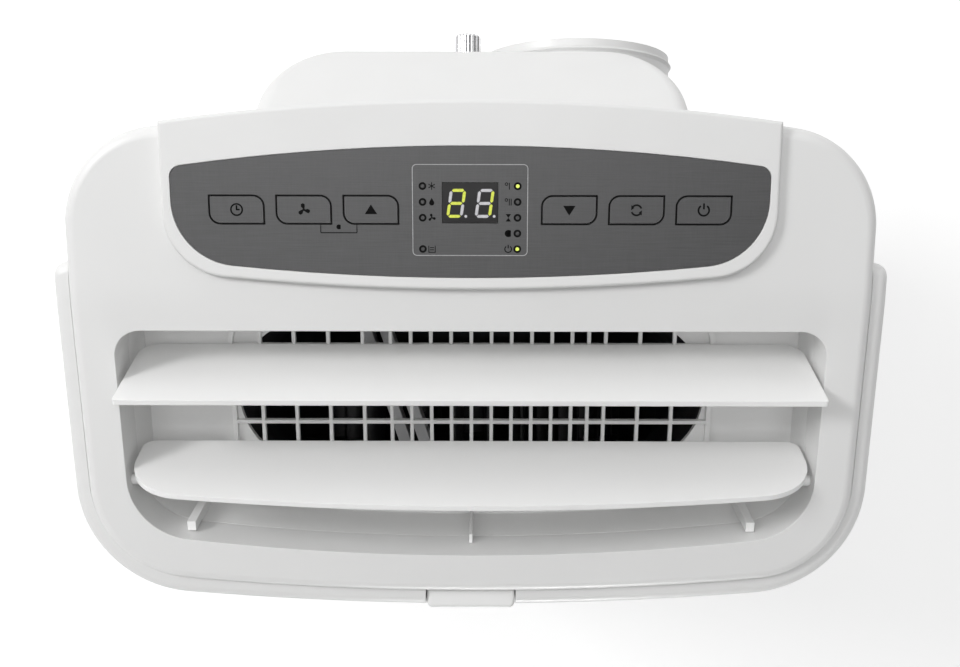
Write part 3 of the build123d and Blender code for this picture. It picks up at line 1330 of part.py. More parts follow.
with BuildPart() as blower_housing:
    add(blower_space(0))
    # Foot on the partition
    with BuildSketch(Plane.XY.offset(PARTITION_TOP)):
        with Locations((0, (BLOWER_FRONT + BLOWER_BACK) / 2)):
            Rectangle(2 * FOOT_HALF, BLOWER_BACK - BLOWER_FRONT)
    extrude(amount=BLOWER_Z - PARTITION_TOP)
    add(blower_space(DUCT_WALL), mode=Mode.SUBTRACT)
    with BuildSketch(upright(BLOWER_BACK)):
        with Locations((0, BLOWER_Z)):
            Circle(BLOWER_EYE)
    extrude(amount=DUCT_WALL, mode=Mode.SUBTRACT)
    with BuildSketch(upright(BLOWER_FRONT)):
        with Locations((0, BLOWER_Z)):
            Circle(FAN_HUB)
    extrude(amount=-DUCT_WALL, mode=Mode.SUBTRACT)
    # Pair of slanting stays across the duct
    brace_foot = BLOWER_Z + BLOWER_RADIUS + BRACE_RISE
    for shift in (-BRACE_PITCH / 2, BRACE_PITCH / 2):
        with BuildSketch(Plane.XY.offset(brace_foot)):
            with BuildLine():
                Polyline(
                    (BRACE_X + shift - BRACE_LEAN / 2, BLOWER_BACK - DUCT_WALL / 2),
                    (BRACE_X + shift + BRACE_LEAN / 2, BLOWER_FRONT + DUCT_WALL / 2),
                    (BRACE_X + shift + BRACE_LEAN / 2 + BRACE_THICK, BLOWER_FRONT + DUCT_WALL / 2),
                    (BRACE_X + shift - BRACE_LEAN / 2 + BRACE_THICK, BLOWER_BACK - DUCT_WALL / 2),
                    close=True,
                )
            make_face()
        extrude(amount=BRACE_HEIGHT)
    split(bisect_by=vent_plane.offset(-RECESS - FLOOR_WALL), keep=Keep.BOTTOM)
save(blower_housing, "blower_housing")


# Outdoor fan housing: round chamber, and a stack whose spigot reaches into the exhaust port
def cooler_space(inset):
    """Chamber and stack of the outdoor fan, drawn inset from their outer faces."""
    front = COOLER_FRONT + inset
    back = COOLER_BACK - inset
    with BuildPart() as space:
        with BuildSketch(upright(back)):
            with Locations((COOLER_X, COOLER_Z)):
                Circle(COOLER_CHAMBER + DUCT_WALL - inset)
            with Locations((COLLAR_X, (COOLER_Z + STACK_TOP) / 2)):
                Rectangle(2 * (STACK_HALF - inset), STACK_TOP - COOLER_Z - 2 * inset)
        extrude(amount=back - front)
    return space.part


SPIGOT_END = BULGE_BACK - SPIGOT_SETBACK
STACK_TOP = COLLAR_Z + STACK_HEAD
with BuildPart() as condenser_housing:
    add(cooler_space(0))
    # Foot on the base pan
    with BuildSketch(Plane.XY.offset(PAN_TOP)):
        with Locations((COOLER_X, (COOLER_FRONT + COOLER_BACK) / 2)):
            Rectangle(2 * FOOT_HALF, COOLER_BACK - COOLER_FRONT)
            Rectangle(2 * (FOOT_HALF - FOOT_THICK), COOLER_BACK - COOLER_FRONT, mode=Mode.SUBTRACT)
    extrude(amount=COOLER_Z - PAN_TOP)
    add(back_hole(COLLAR_X, COLLAR_Z, SPIGOT_RADIUS, COOLER_FRONT, SPIGOT_END))
    add(cooler_space(DUCT_WALL), mode=Mode.SUBTRACT)
    spigot_bore = SPIGOT_RADIUS - DUCT_WALL
    add(back_hole(COLLAR_X, COLLAR_Z, spigot_bore, COOLER_FRONT + DUCT_WALL, SPIGOT_END), mode=Mode.SUBTRACT)
    eye_start = COOLER_BACK - DUCT_WALL
    add(back_hole(COOLER_X, COOLER_Z, COOLER_EYE, eye_start, COOLER_BACK), mode=Mode.SUBTRACT)
    add(back_hole(COOLER_X, COOLER_Z, FAN_HUB, COOLER_FRONT, COOLER_FRONT + DUCT_WALL), mode=Mode.SUBTRACT)
save(condenser_housing, "condenser_housing")


# Coils: finned blocks with return bends on the right-hand end
def bent_pipe(points, radius):
    """Round pipe along straight legs joined by bends."""
    with BuildPart() as pipe:
        with BuildLine() as path:
            FilletPolyline(*points, radius=PIPE_BEND)
        with BuildSketch(Plane(origin=path.line @ 0, z_dir=path.line % 0)):
            Circle(radius)
        sweep()
    return pipe.part


def coil(half, front, back, low, high, foot):
    """Finned coil whose end plates stand on the level `foot`."""
    middle = (front + back) / 2
    gap_count = int(2 * (half - END_PLATE) / FIN_PITCH)
    gaps = [FIN_PITCH * (step - (gap_count - 1) / 2) for step in range(gap_count)]
    bend_count = int((high - low) / (2 * BEND_PITCH))
    with BuildPart() as block:
        with BuildSketch(Plane.XY.offset(low)):
            with Locations((0, middle)):
                Rectangle(2 * half, back - front)
            with Locations([(x, y) for x in gaps for y in (front, back)]):
                Rectangle(FIN_GAP, back - front - CORE_THICK, mode=Mode.SUBTRACT)
        extrude(amount=high - low)
        with BuildSketch(Plane.XY.offset(foot)):
            with Locations((END_PLATE / 2 - half, middle), (half - END_PLATE / 2, middle)):
                Rectangle(END_PLATE, back - front)
        extrude(amount=high - foot)
        for step in range(bend_count):
            start = (low + high) / 2 + 2 * BEND_PITCH * (step - (bend_count - 1) / 2) - BEND_PITCH / 2
            add(
                bent_pipe(
                    [
                        (half, middle, start),
                        (half + BEND_REACH, middle, start),
                        (half + BEND_REACH, middle, start + BEND_PITCH),
                        (half, middle, start + BEND_PITCH),
                    ],
                    PIPE_RADIUS,
                )
            )
    return block


EVAPORATOR_HALF = COVER_HALF - EVAPORATOR_SIDE
EVAPORATOR_FRONT = BLOWER_BACK + EVAPORATOR_ROOM
EVAPORATOR_BACK = EVAPORATOR_FRONT + EVAPORATOR_DEPTH
EVAPORATOR_HIGH = HEIGHT - EVAPORATOR_DROP
EVAPORATOR_LOW = EVAPORATOR_HIGH - EVAPORATOR_TALL
evaporator_coil = coil(
    EVAPORATOR_HALF, EVAPORATOR_FRONT, EVAPORATOR_BACK, EVAPORATOR_LOW, EVAPORATOR_HIGH, EVAPORATOR_LOW
)
save(evaporator_coil, "evaporator_coil")
CONDENSER_HALF = BULGE_HALF - CONDENSER_SIDE
CONDENSER_FRONT = COOLER_BACK + CONDENSER_ROOM
CONDENSER_BACK = BULGE_BACK - CONDENSER_SETBACK
CONDENSER_HIGH = PARTITION_LOW - CONDENSER_DROP
condenser_coil = coil(
    CONDENSER_HALF, CONDENSER_FRONT, CONDENSER_BACK, CONDENSER_LOW, CONDENSER_HIGH, PAN_TOP
)
save(condenser_coil, "condenser_coil")

# Drip tray under the indoor coil, and the tube from it to the drain spout
TRAY_HALF = EVAPORATOR_HALF + TRAY_SIDE
TRAY_FRONT = EVAPORATOR_FRONT - TRAY_TOE
TRAY_BACK = EVAPORATOR_BACK + TRAY_SIDE
TRAY_LOW = EVAPORATOR_LOW - TRAY_SUNK
TRAY_MIDDLE = (TRAY_FRONT + TRAY_BACK) / 2
TRAY_DEPTH = TRAY_BACK - TRAY_FRONT
with BuildPart() as drip_tray:
    with BuildSketch(Plane.XY.offset(TRAY_LOW)):
        with Locations((0, TRAY_MIDDLE)):
            Rectangle(2 * TRAY_HALF, TRAY_DEPTH)
    extrude(amount=TRAY_RIM)
    with BuildSketch(Plane.XY.offset(TRAY_LOW + TRAY_WALL)):
        with Locations((0, TRAY_MIDDLE)):
            Rectangle(2 * (TRAY_HALF - TRAY_WALL), TRAY_DEPTH - 2 * TRAY_WALL)
    extrude(amount=TRAY_RIM, mode=Mode.SUBTRACT)
    # Ribs under the coil, and legs down to the partition
    with BuildSketch(Plane.XY.offset(TRAY_LOW)):
        with Locations((0, EVAPORATOR_FRONT + TRAY_LEG), (0, EVAPORATOR_BACK - TRAY_LEG)):
            Rectangle(2 * EVAPORATOR_HALF, TRAY_LEG)
    extrude(amount=EVAPORATOR_LOW - TRAY_LOW)
    with BuildSketch(Plane.XY.offset(PARTITION_TOP)):
        with Locations((-EVAPORATOR_HALF, TRAY_MIDDLE), (EVAPORATOR_HALF, TRAY_MIDDLE)):
            Rectangle(TRAY_LEG, TRAY_DEPTH)
    extrude(amount=TRAY_LOW - PARTITION_TOP)
    add(back_hole(SPOUT_X, SPOUT_Z, SPOUT_BORE, TRAY_BACK - TRAY_WALL, TRAY_BACK), mode=Mode.SUBTRACT)
save(drip_tray, "drip_tray")

with BuildPart() as drain_tube:
    add(back_hole(SPOUT_X, SPOUT_Z, TUBE_RADIUS, TRAY_BACK, SPOUT_ROOT))
    add(back_hole(SPOUT_X, SPOUT_Z, SPOUT_BORE, TRAY_BACK, SPOUT_ROOT), mode=Mode.SUBTRACT)
save(drain_tube, "drain_tube")

# Refrigerant pipes between the coils and the compressor
COMPRESSOR_X = COMPRESSOR_SIDE - COVER_HALF
COMPRESSOR_Y = COVER_FRONT + COMPRESSOR_SETBACK
COMPRESSOR_HIGH = PARTITION_LOW - COMPRESSOR_DROP
STUB_TOP = COMPRESSOR_HIGH + STUB_LENGTH
DISCHARGE_Y = CONDENSER_FRONT + 3 * PIPE_RADIUS
DISCHARGE_Z = CONDENSER_HIGH - 5 * PIPE_RADIUS
LIQUID_Y = CONDENSER_BACK - 2 * PIPE_RADIUS
LIQUID_Z = CONDENSER_LOW + 6 * PIPE_RADIUS
RISER_X = -CONDENSER_HALF - 3.5 * PIPE_RADIUS
CROSS_Z = PARTITION_LOW - 4 * PIPE_RADIUS
SUCTION_X = -EVAPORATOR_HALF - 3.5 * PIPE_RADIUS
SUCTION_Y = EVAPORATOR_FRONT + 3 * PIPE_RADIUS
SUCTION_Z = EVAPORATOR_HIGH - 6 * PIPE_RADIUS
RETURN_Z = CROSS_Z - 3 * PIPE_RADIUS
FEED_Y = EVAPORATOR_BACK - 3 * PIPE_RADIUS
FEED_Z = (EVAPORATOR_LOW + EVAPORATOR_HIGH) / 2
BYPASS_Y = EVAPORATOR_BACK + 2 * PIPE_RADIUS
discharge_stub = (RISER_X, COMPRESSOR_Y)
suction_stub = (COMPRESSOR_X + 3 * PIPE_RADIUS, COMPRESSOR_Y - 6 * PIPE_RADIUS)
discharge_points = [
    (-CONDENSER_HALF, DISCHARGE_Y, DISCHARGE_Z),
    (RISER_X, DISCHARGE_Y, DISCHARGE_Z),
    (RISER_X, DISCHARGE_Y, CROSS_Z),
    (RISER_X, COMPRESSOR_Y, CROSS_Z),
    (RISER_X, COMPRESSOR_Y, STUB_TOP),
]
suction_points = [
    (-EVAPORATOR_HALF, SUCTION_Y, SUCTION_Z),
    (SUCTION_X, SUCTION_Y, SUCTION_Z),
    (SUCTION_X, SUCTION_Y, RETURN_Z),
    (SUCTION_X, suction_stub[1], RETURN_Z),
    (suction_stub[0], suction_stub[1], RETURN_Z),
    (suction_stub[0], suction_stub[1], STUB_TOP),
]
liquid_points = [
    (-CONDENSER_HALF, LIQUID_Y, LIQUID_Z),
    (RISER_X, LIQUID_Y, LIQUID_Z),
    (RISER_X, LIQUID_Y, FEED_Z),
    (RISER_X, BYPASS_Y, FEED_Z),
    (SUCTION_X, BYPASS_Y, FEED_Z),
    (SUCTION_X, FEED_Y, FEED_Z),
    (-EVAPORATOR_HALF, FEED_Y, FEED_Z),
]
with BuildPart() as refrigerant_pipes:
    for points in (discharge_points, suction_points, liquid_points):
        add(bent_pipe(points, PIPE_RADIUS))
save(refrigerant_pipes, "refrigerant_pipes")

# Partition between the indoor half above and the outdoor half below
with BuildPart() as partition_plate:
    with BuildSketch(Plane.XY.offset(PARTITION_LOW)):
        add(body_outline(WALL + SEAM))
        add(bulge_plan(WALL + SEAM))
        with Locations((COLLAR_X, COOLER_FRONT - SEAM + DEPTH / 2)):
            Rectangle(2 * (STACK_HALF + SEAM), DEPTH, mode=Mode.SUBTRACT)
        with Locations((SUCTION_X, SUCTION_Y), (RISER_X, LIQUID_Y)):
            Circle(PIPE_RADIUS + WALL, mode=Mode.SUBTRACT)
    extrude(amount=PARTITION_THICK)
save(partition_plate, "partition_plate")

# Compressor on three rubber grommets
FOOT_LEVEL = PAN_TOP + GROMMET_HEIGHT
ears = [
    (
        COMPRESSOR_X + EAR_REACH * cos(radians(turn)),
        COMPRESSOR_Y + EAR_REACH * sin(radians(turn)),
    )
    for turn in EAR_TURNS
]
with BuildPart() as compressor:
    with BuildSketch(Plane.XY.offset(FOOT_LEVEL)):
        with Locations(ears):
            Circle(EAR_RADIUS)
        make_hull()
    extrude(amount=PLATE_THICK)
    with BuildSketch(Plane.XY.offset(FOOT_LEVEL)):
        with Locations((COMPRESSOR_X, COMPRESSOR_Y)):
            Circle(COMPRESSOR_RADIUS)
    extrude(amount=COMPRESSOR_HIGH - FOOT_LEVEL)
    fillet(compressor.edges().filter_by(GeomType.CIRCLE).sort_by(Axis.Z)[-1], DOME)
    with BuildSketch(Plane.XY.offset(COMPRESSOR_HIGH - DOME)):
        with Locations(discharge_stub, suction_stub):
            Circle(STUB_RADIUS)
    extrude(amount=STUB_TOP - COMPRESSOR_HIGH + DOME)
save(compressor, "compressor")

with BuildPart() as compressor_grommets:
    with BuildSketch(Plane.XY.offset(PAN_TOP)):
        with Locations(ears):
            Circle(GROMMET_RADIUS)
    extrude(amount=GROMMET_HEIGHT)
save(compressor_grommets, "compressor_grommets")

# Control box, open at the back
BOX_X = COVER_HALF - BOX_SIDE
BOX_Y = COVER_FRONT + BOX_SETBACK
with BuildPart() as control_box:
    with BuildSketch(Plane.XY.offset(PAN_TOP)):
        with Locations((BOX_X, BOX_Y)):
            RectangleRounded(BOX_WIDTH, BOX_DEPTH, BOX_CORNER)
    extrude(amount=BOX_HEIGHT)
    with BuildSketch(upright(BOX_Y + BOX_DEPTH / 2)):
        with Locations((BOX_X, PAN_TOP + BOX_HEIGHT / 2)):
            Rectangle(BOX_WIDTH - 2 * BOX_CORNER, BOX_HEIGHT - 2 * BOX_CORNER)
    extrude(amount=BOX_DEPTH - BOX_CORNER, mode=Mode.SUBTRACT)
save(control_box, "control_box")
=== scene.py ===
import json
from math import cos, radians, sin, tan

import bmesh
import bpy
from mathutils import Matrix, Vector


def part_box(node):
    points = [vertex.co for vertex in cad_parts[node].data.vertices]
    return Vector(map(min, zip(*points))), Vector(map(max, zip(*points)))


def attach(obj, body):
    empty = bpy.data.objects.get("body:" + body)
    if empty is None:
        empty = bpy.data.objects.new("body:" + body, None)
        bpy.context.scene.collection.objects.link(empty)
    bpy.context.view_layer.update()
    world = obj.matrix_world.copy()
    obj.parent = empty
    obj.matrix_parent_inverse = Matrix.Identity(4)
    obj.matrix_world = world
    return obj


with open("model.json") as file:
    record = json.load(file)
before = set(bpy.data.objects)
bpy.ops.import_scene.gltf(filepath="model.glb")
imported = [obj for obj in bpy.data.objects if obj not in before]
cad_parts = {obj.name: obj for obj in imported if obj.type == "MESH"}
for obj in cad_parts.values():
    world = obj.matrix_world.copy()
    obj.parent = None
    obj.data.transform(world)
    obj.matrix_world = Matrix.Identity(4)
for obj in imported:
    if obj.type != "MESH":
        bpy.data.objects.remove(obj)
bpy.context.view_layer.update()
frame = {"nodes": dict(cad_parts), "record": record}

nodes = frame["nodes"]

# Layout of the control panel, in millimetres on its sloping plane, as in the part's source
PANEL_SLOPE = radians(11.3)
HEIGHT = 690.0
CONTROL_DATUM = 73.0
PANEL_FACE = -0.3
KEY_WIDTH = 22.5
KEY_HEIGHT = 11.2
KEY_ROUND = 4.2
KEY_ROW = 27.9
KEY_FIRST = 42.2
KEY_PITCH = 28.6
KEY_GAP = 0.3
LAMP_COLUMN = 20.2
LAMP_FIRST = 38.0
LAMP_PITCH = 6.7
DIGIT_ROW = 30.7

# Print and marks on the panel
PRINT_HEIGHT = 0.05
LINE_WIDTH = 0.5
FRAME_HALF = 24.3
FRAME_LOW = 8.6
FRAME_HIGH = 46.9
FRAME_CORNER = 1.6
FRAME_LINE = 0.32
DIGIT_CENTRES = (-5.87, 6.19)
DIGIT_WIDTH = 5.7
DIGIT_HEIGHT = 11.0
DIGIT_SLANT = tan(radians(8))
SEGMENT = 1.25
SEGMENT_GAP = 0.25
DOT_RADIUS = 0.6
RING_INNER = 0.8
RING_OUTER = 1.65
SIGN_SCALE = 1.15
SMALL_SIGN_SCALE = 0.72
SMALL_SIGN_OFFSET = 3.9
DOT_OFFSET = 1.2
BRACKET_LEFT = -63.75
BRACKET_RIGHT = -48.3
BRACKET_LOW = 18.1
BRACKET_HIGH = 21.9
BRACKET_LINE = 0.4
BRACKET_SIGN_ROW = 20.6
BRACKET_SIGN_SCALE = 0.5


def linear(red, green, blue):
    """Linear colour from 0 to 255 screen values."""
    channels = []
    for value in (red, green, blue):
        share = value / 255
        channels.append(share / 12.92 if share <= 0.04045 else ((share + 0.055) / 1.055) ** 2.4)
    return (*channels, 1.0)


def scaled(colour, factor):
    """Colour made lighter or darker."""
    return (*[min(1.0, channel * factor) for channel in colour[:3]], 1.0)


# Materials
# Slow unevenness of all moulded plastic: scales are features per metre, the depth is in metres
SINK_SCALE = 14.0
SINK_DEPTH = 0.0004
SINK_STRENGTH = 0.25
SHADE_SCALE = 9.0
GLOSS_SCALE = 60.0


class Surface:
    """Material that is put together around one Principled shader, on object coordinates."""

    def __init__(self, name, roughness, metallic=0.0):
        self.material = bpy.data.materials.new(name)
        self.material.use_nodes = True
        self.tree = self.material.node_tree
        self.shader = self.tree.nodes["Principled BSDF"]
        self.shader.inputs["Roughness"].default_value = roughness
        self.shader.inputs["Metallic"].default_value = metallic
        self.roughness = roughness
        self.place = self.add("ShaderNodeTexCoord").outputs["Object"]
        self.normal = None

    def add(self, kind, **settings):
        node = self.tree.nodes.new(kind)
        for key, value in settings.items():
            setattr(node, key, value)
        return node

    def link(self, source, target):
        self.tree.links.new(source, target)

    def noise(self, scale, stretch=(1, 1, 1), detail=3.0):
        """Noise value with features about 1/scale metres across, stretched along the axes."""
        mapping = self.add("ShaderNodeMapping")
        mapping.inputs["Scale"].default_value = stretch
        self.link(self.place, mapping.inputs["Vector"])
        texture = self.add("ShaderNodeTexNoise")
        texture.inputs["Scale"].default_value = scale
        texture.inputs["Detail"].default_value = detail
        self.link(mapping.outputs["Vector"], texture.inputs["Vector"])
        return texture.outputs["Fac"]

    def cells(self, scale, feature="F1"):
        """Distance value of a cell pattern."""
        texture = self.add("ShaderNodeTexVoronoi", feature=feature)
        texture.inputs["Scale"].default_value = scale
        self.link(self.place, texture.inputs["Vector"])
        return texture.outputs["Distance"]

    def lines(self, scale, direction):
        """Evenly spaced lines across one axis."""
        texture = self.add("ShaderNodeTexWave", bands_direction=direction)
        texture.inputs["Scale"].default_value = scale
        self.link(self.place, texture.inputs["Vector"])
        return texture.outputs["Fac"]

    def spread(self, value, low, high, start=0.3, end=0.7):
        """Value mapped from a pattern's middle range to a chosen range."""
        node = self.add("ShaderNodeMapRange")
        node.inputs["From Min"].default_value = start
        node.inputs["From Max"].default_value = end
        node.inputs["To Min"].default_value = low
        node.inputs["To Max"].default_value = high
        self.link(value, node.inputs["Value"])
        return node.outputs["Result"]

    def colours(self, value, dark, light, start=0.3, end=0.7):
        """Colour between two shades, by a pattern."""
        ramp = self.add("ShaderNodeValToRGB")
        ramp.color_ramp.elements[0].position = start
        ramp.color_ramp.elements[0].color = dark
        ramp.color_ramp.elements[1].position = end
        ramp.color_ramp.elements[1].color = light
        self.link(value, ramp.inputs["Fac"])
        return ramp.outputs["Color"]

    def round_edges(self, radius):
        """Softens sharp edges in the shading; returns a mask of those edges."""
        bevel = self.add("ShaderNodeBevel", samples=6)
        bevel.inputs["Radius"].default_value = radius
        self.normal = bevel.outputs["Normal"]
        plain = self.add("ShaderNodeNewGeometry").outputs["Normal"]
        dot = self.add("ShaderNodeVectorMath", operation="DOT_PRODUCT")
        self.link(self.normal, dot.inputs[0])
        self.link(plain, dot.inputs[1])
        return self.spread(dot.outputs["Value"], 1.0, 0.0, 0.8, 0.99)

    def tint(self, base, mask, colour, share):
        """Lays a second colour over the base where the mask is set."""
        mix = self.add("ShaderNodeMix", data_type="RGBA")
        amount = self.spread(mask, 0.0, share, 0.0, 1.0)
        self.link(amount, mix.inputs["Factor"])
        self.link(base, mix.inputs["A"])
        mix.inputs["B"].default_value = colour
        return mix.outputs["Result"]

    def bump(self, height, depth, strength=1.0):
        """Adds relief of a depth in metres."""
        node = self.add("ShaderNodeBump")
        node.inputs["Strength"].default_value = strength
        node.inputs["Distance"].default_value = depth
        self.link(height, node.inputs["Height"])
        if self.normal is not None:
            self.link(self.normal, node.inputs["Normal"])
        self.normal = node.outputs["Normal"]

    def finish(self, colour, roughness=None):
        """Connects colour, roughness and relief to the shader."""
        self.link(colour, self.shader.inputs["Base Color"])
        if roughness is not None:
            self.link(roughness, self.shader.inputs["Roughness"])
        if self.normal is not None:
            self.link(self.normal, self.shader.inputs["Normal"])
        return self.material


def moulded(name, colour, roughness, grain, depth, edge=0.0006, edge_highlight=1.05, specular=0.5):
    """Moulded plastic: spark-eroded grain, slight unevenness of colour and gloss, and sharp edges painted
    lighter as a highlight.
    """
    surface = Surface(name, roughness)
    surface.shader.inputs["Specular IOR Level"].default_value = specular
    edges = surface.round_edges(edge)
    surface.bump(surface.noise(SINK_SCALE, detail=1.0), SINK_DEPTH, SINK_STRENGTH)
    surface.bump(surface.noise(grain, detail=2.0), depth)
    shade = surface.colours(surface.noise(SHADE_SCALE), scaled(colour, 0.985), scaled(colour, 1.01))
    # Painted highlight: the sharp edges are coloured lighter than the rest of the surface
    shade = surface.tint(shade, edges, scaled(colour, edge_highlight), 0.6)
    gloss = surface.spread(surface.noise(GLOSS_SCALE), roughness - 0.05, roughness + 0.06)
    return surface.finish(shade, gloss)


def metal(name, colour, roughness, stretch, scale, depth):
    """Bare or plated metal with drawn or brushed lines, and a painted highlight along its sharp edges."""
    surface = Surface(name, roughness, metallic=1.0)
    edges = surface.round_edges(0.0004)
    streaks = surface.noise(scale, stretch)
    surface.bump(streaks, depth)
    shade = surface.colours(streaks, scaled(colour, 0.9), colour)
    # Painted highlight: the sharp edges are coloured lighter than the rest of the metal
    shade = surface.tint(shade, edges, scaled(colour, 1.15), 0.5)
    gloss = surface.spread(streaks, roughness * 0.8, roughness * 1.3)
    return surface.finish(shade, gloss)


def ridged_chrome():
    """Plated spout, turned with fine ribs along it, and painted highlight bands of darker and lighter
    colour along the ribs.
    """
    surface = Surface("chrome", 0.16, metallic=1.0)
    ridges_and_highlights = surface.lines(150.0, "X")
    surface.bump(ridges_and_highlights, 0.0004)
    # Painted highlights: the colour alternates between darker and lighter bands along the turned ribs
    shade = surface.colours(ridges_and_highlights, (0.5, 0.5, 0.51, 1), (0.86, 0.86, 0.87, 1), 0.2, 0.8)
    return surface.finish(shade, surface.spread(surface.noise(900.0), 0.12, 0.24))


def brushed_film():
    """Dark grey printed film with a fine brushed grain along the panel and a fainter one across it."""
    surface = Surface("panel_film", 0.42)
    surface.shader.inputs["Specular IOR Level"].default_value = 0.7
    along = surface.noise(1.0, (60.0, 2600.0, 2600.0), 4.0)
    across = surface.noise(1.0, (2200.0, 90.0, 90.0), 3.0)
    surface.bump(along, 0.00003)
    base = surface.colours(along, linear(38, 38, 39), linear(68, 68, 69), 0.25, 0.75)
    shade = surface.tint(base, across, linear(84, 84, 85), 0.4)
    cloud = surface.noise(150.0, detail=3.0)
    shade = surface.tint(shade, cloud, linear(36, 36, 37), 0.32)
    return surface.finish(shade, surface.spread(along, 0.34, 0.52))


def circuit_board():
    """Green solder mask with paler copper runs under it."""
    surface = Surface("circuit_board", 0.35)
    runs = surface.cells(160.0, "DISTANCE_TO_EDGE")
    surface.bump(runs, 0.00005)
    shade = surface.colours(runs, (0.03, 0.2, 0.08, 1), (0.015, 0.1, 0.04, 1), 0.02, 0.06)
    return surface.finish(shade, surface.spread(surface.noise(90.0), 0.28, 0.42))


def woven_filter():
    """Fine woven mesh of dark threads, with painted shade in the holes between the threads."""
    surface = Surface("filter", 0.85)
    warp = surface.lines(280.0, "X")
    weft = surface.lines(280.0, "Z")
    both = surface.add("ShaderNodeMath", operation="MAXIMUM")
    surface.link(warp, both.inputs[0])
    surface.link(weft, both.inputs[1])
    threads = both.outputs["Value"]
    surface.bump(threads, 0.0003)
    # Painted shade: the holes between the threads are coloured near-black
    shade = surface.colours(threads, (0.004, 0.004, 0.005, 1), (0.09, 0.09, 0.1, 1), 0.55, 0.9)
    return surface.finish(shade, surface.spread(surface.noise(400.0), 0.75, 0.95))


def spangled(name, colour):
    """Galvanised sheet with crystal spangles."""
    surface = Surface(name, 0.42, metallic=0.9)
    spangles = surface.cells(90.0)
    surface.bump(surface.noise(300.0), 0.00004)
    shade = surface.colours(spangles, scaled(colour, 0.8), scaled(colour, 1.1), 0.1, 0.7)
    return surface.finish(shade, surface.spread(spangles, 0.34, 0.52, 0.1, 0.7))


def finned():
    """Aluminium fins, close lines across the coil, with painted shade in the gaps between the fins."""
    surface = Surface("fins", 0.4, metallic=0.9)
    fins = surface.lines(200.0, "X")
    surface.bump(fins, 0.0006)
    # Painted shade: dark lines stand for the shaded gaps between the fins
    shade = surface.colours(fins, (0.2, 0.2, 0.21, 1), (0.72, 0.73, 0.74, 1), 0.2, 0.8)
    return surface.finish(shade, surface.spread(surface.noise(80.0), 0.32, 0.48))


def tarnished_copper():
    """Drawn copper tube with darker stains."""
    surface = Surface("copper", 0.3, metallic=1.0)
    stains = surface.noise(45.0)
    surface.bump(surface.noise(900.0), 0.00002)
    shade = surface.colours(stains, (0.36, 0.15, 0.08, 1), (0.74, 0.4, 0.26, 1))
    return surface.finish(shade, surface.spread(stains, 0.45, 0.22))


def lens(name, colour, glow, strength, roughness=0.25, specular=0.5):
    """Small moulded lens; a lit one glows with a slightly uneven light."""
    surface = Surface(name, roughness)
    surface.shader.inputs["Specular IOR Level"].default_value = specular
    cloud = surface.noise(700.0, detail=1.0)
    surface.bump(surface.noise(1500.0), 0.00001)
    shade = surface.colours(cloud, scaled(colour, 0.85), colour)
    if strength > 0:
        surface.shader.inputs["Emission Color"].default_value = glow
        surface.shader.inputs["Emission Strength"].default_value = strength
    return surface.finish(shade, surface.spread(cloud, roughness - 0.05, roughness + 0.1))


def ink(name, colour, roughness, specular=0.5):
    """Screen print with a slightly uneven coat."""
    surface = Surface(name, roughness)
    surface.shader.inputs["Specular IOR Level"].default_value = specular
    coat = surface.noise(900.0)
    surface.bump(coat, 0.00001)
    shade = surface.colours(coat, scaled(colour, 0.85), scaled(colour, 1.1))
    return surface.finish(shade, surface.spread(coat, roughness - 0.08, roughness + 0.08))


NO_GLOW = (0, 0, 0, 1)
WHITE = (0.76, 0.76, 0.755, 1.0)
OUTLET_WHITE = (0.86, 0.86, 0.855, 1.0)
finishes = {
    "white_casing": moulded("white_casing", WHITE, 0.36, 2200.0, 0.000012),
    "white_outlet": moulded("white_outlet", OUTLET_WHITE, 0.4, 2600.0, 0.000010, edge=0.0005),
    "panel_film": brushed_film(),
    "window": lens("window", linear(34, 33, 34), NO_GLOW, 0.0, 0.12, specular=0.15),
    "display": lens("display", linear(24, 23, 24), NO_GLOW, 0.0, 0.2),
    "lamp_lit": lens("lamp_lit", linear(214, 226, 96), linear(205, 224, 80), 0.45),
    "lamp": lens("lamp", linear(52, 52, 53), NO_GLOW, 0.0),
    "circuit_board": circuit_board(),
    "black_plastic": moulded("black_plastic", (0.012, 0.012, 0.013, 1), 0.5, 1800.0, 0.00002, edge_highlight=1.8),
    "duct_plastic": moulded("duct_plastic", (0.035, 0.035, 0.037, 1), 0.55, 1500.0, 0.00002, edge_highlight=1.4),
    "steel": metal("steel", (0.62, 0.62, 0.62, 1), 0.32, (30.0, 900.0, 900.0), 1.0, 0.00001),
    "filter": woven_filter(),
    "chrome": ridged_chrome(),
    "grey_plastic": moulded("grey_plastic", (0.3, 0.3, 0.305, 1), 0.5, 1800.0, 0.00002, edge_highlight=1.2),
    "rubber": moulded("rubber", (0.018, 0.018, 0.018, 1), 0.75, 900.0, 0.00005, edge_highlight=1.5, specular=0.3),
    "sheet_metal": spangled("sheet_metal", (0.5, 0.51, 0.52, 1)),
    "castor_hood": moulded("castor_hood", (0.02, 0.02, 0.021, 1), 0.42, 1600.0, 0.00003, edge_highlight=1.8),
    "castor_wheel": moulded("castor_wheel", (0.045, 0.045, 0.047, 1), 0.55, 700.0, 0.00006, edge_highlight=1.6),
    "motor": moulded("motor", (0.12, 0.12, 0.125, 1), 0.4, 600.0, 0.00005, edge_highlight=1.5),
    "compressor": moulded("compressor", (0.014, 0.014, 0.015, 1), 0.3, 500.0, 0.0001, edge_highlight=2.0),
    "fins": finned(),
    "copper": tarnished_copper(),
}
for subpart in frame["record"]["subparts"]:
    mesh = nodes[subpart["node"]].data
    mesh.materials.clear()
    mesh.materials.append(finishes[subpart["material_slot"]])

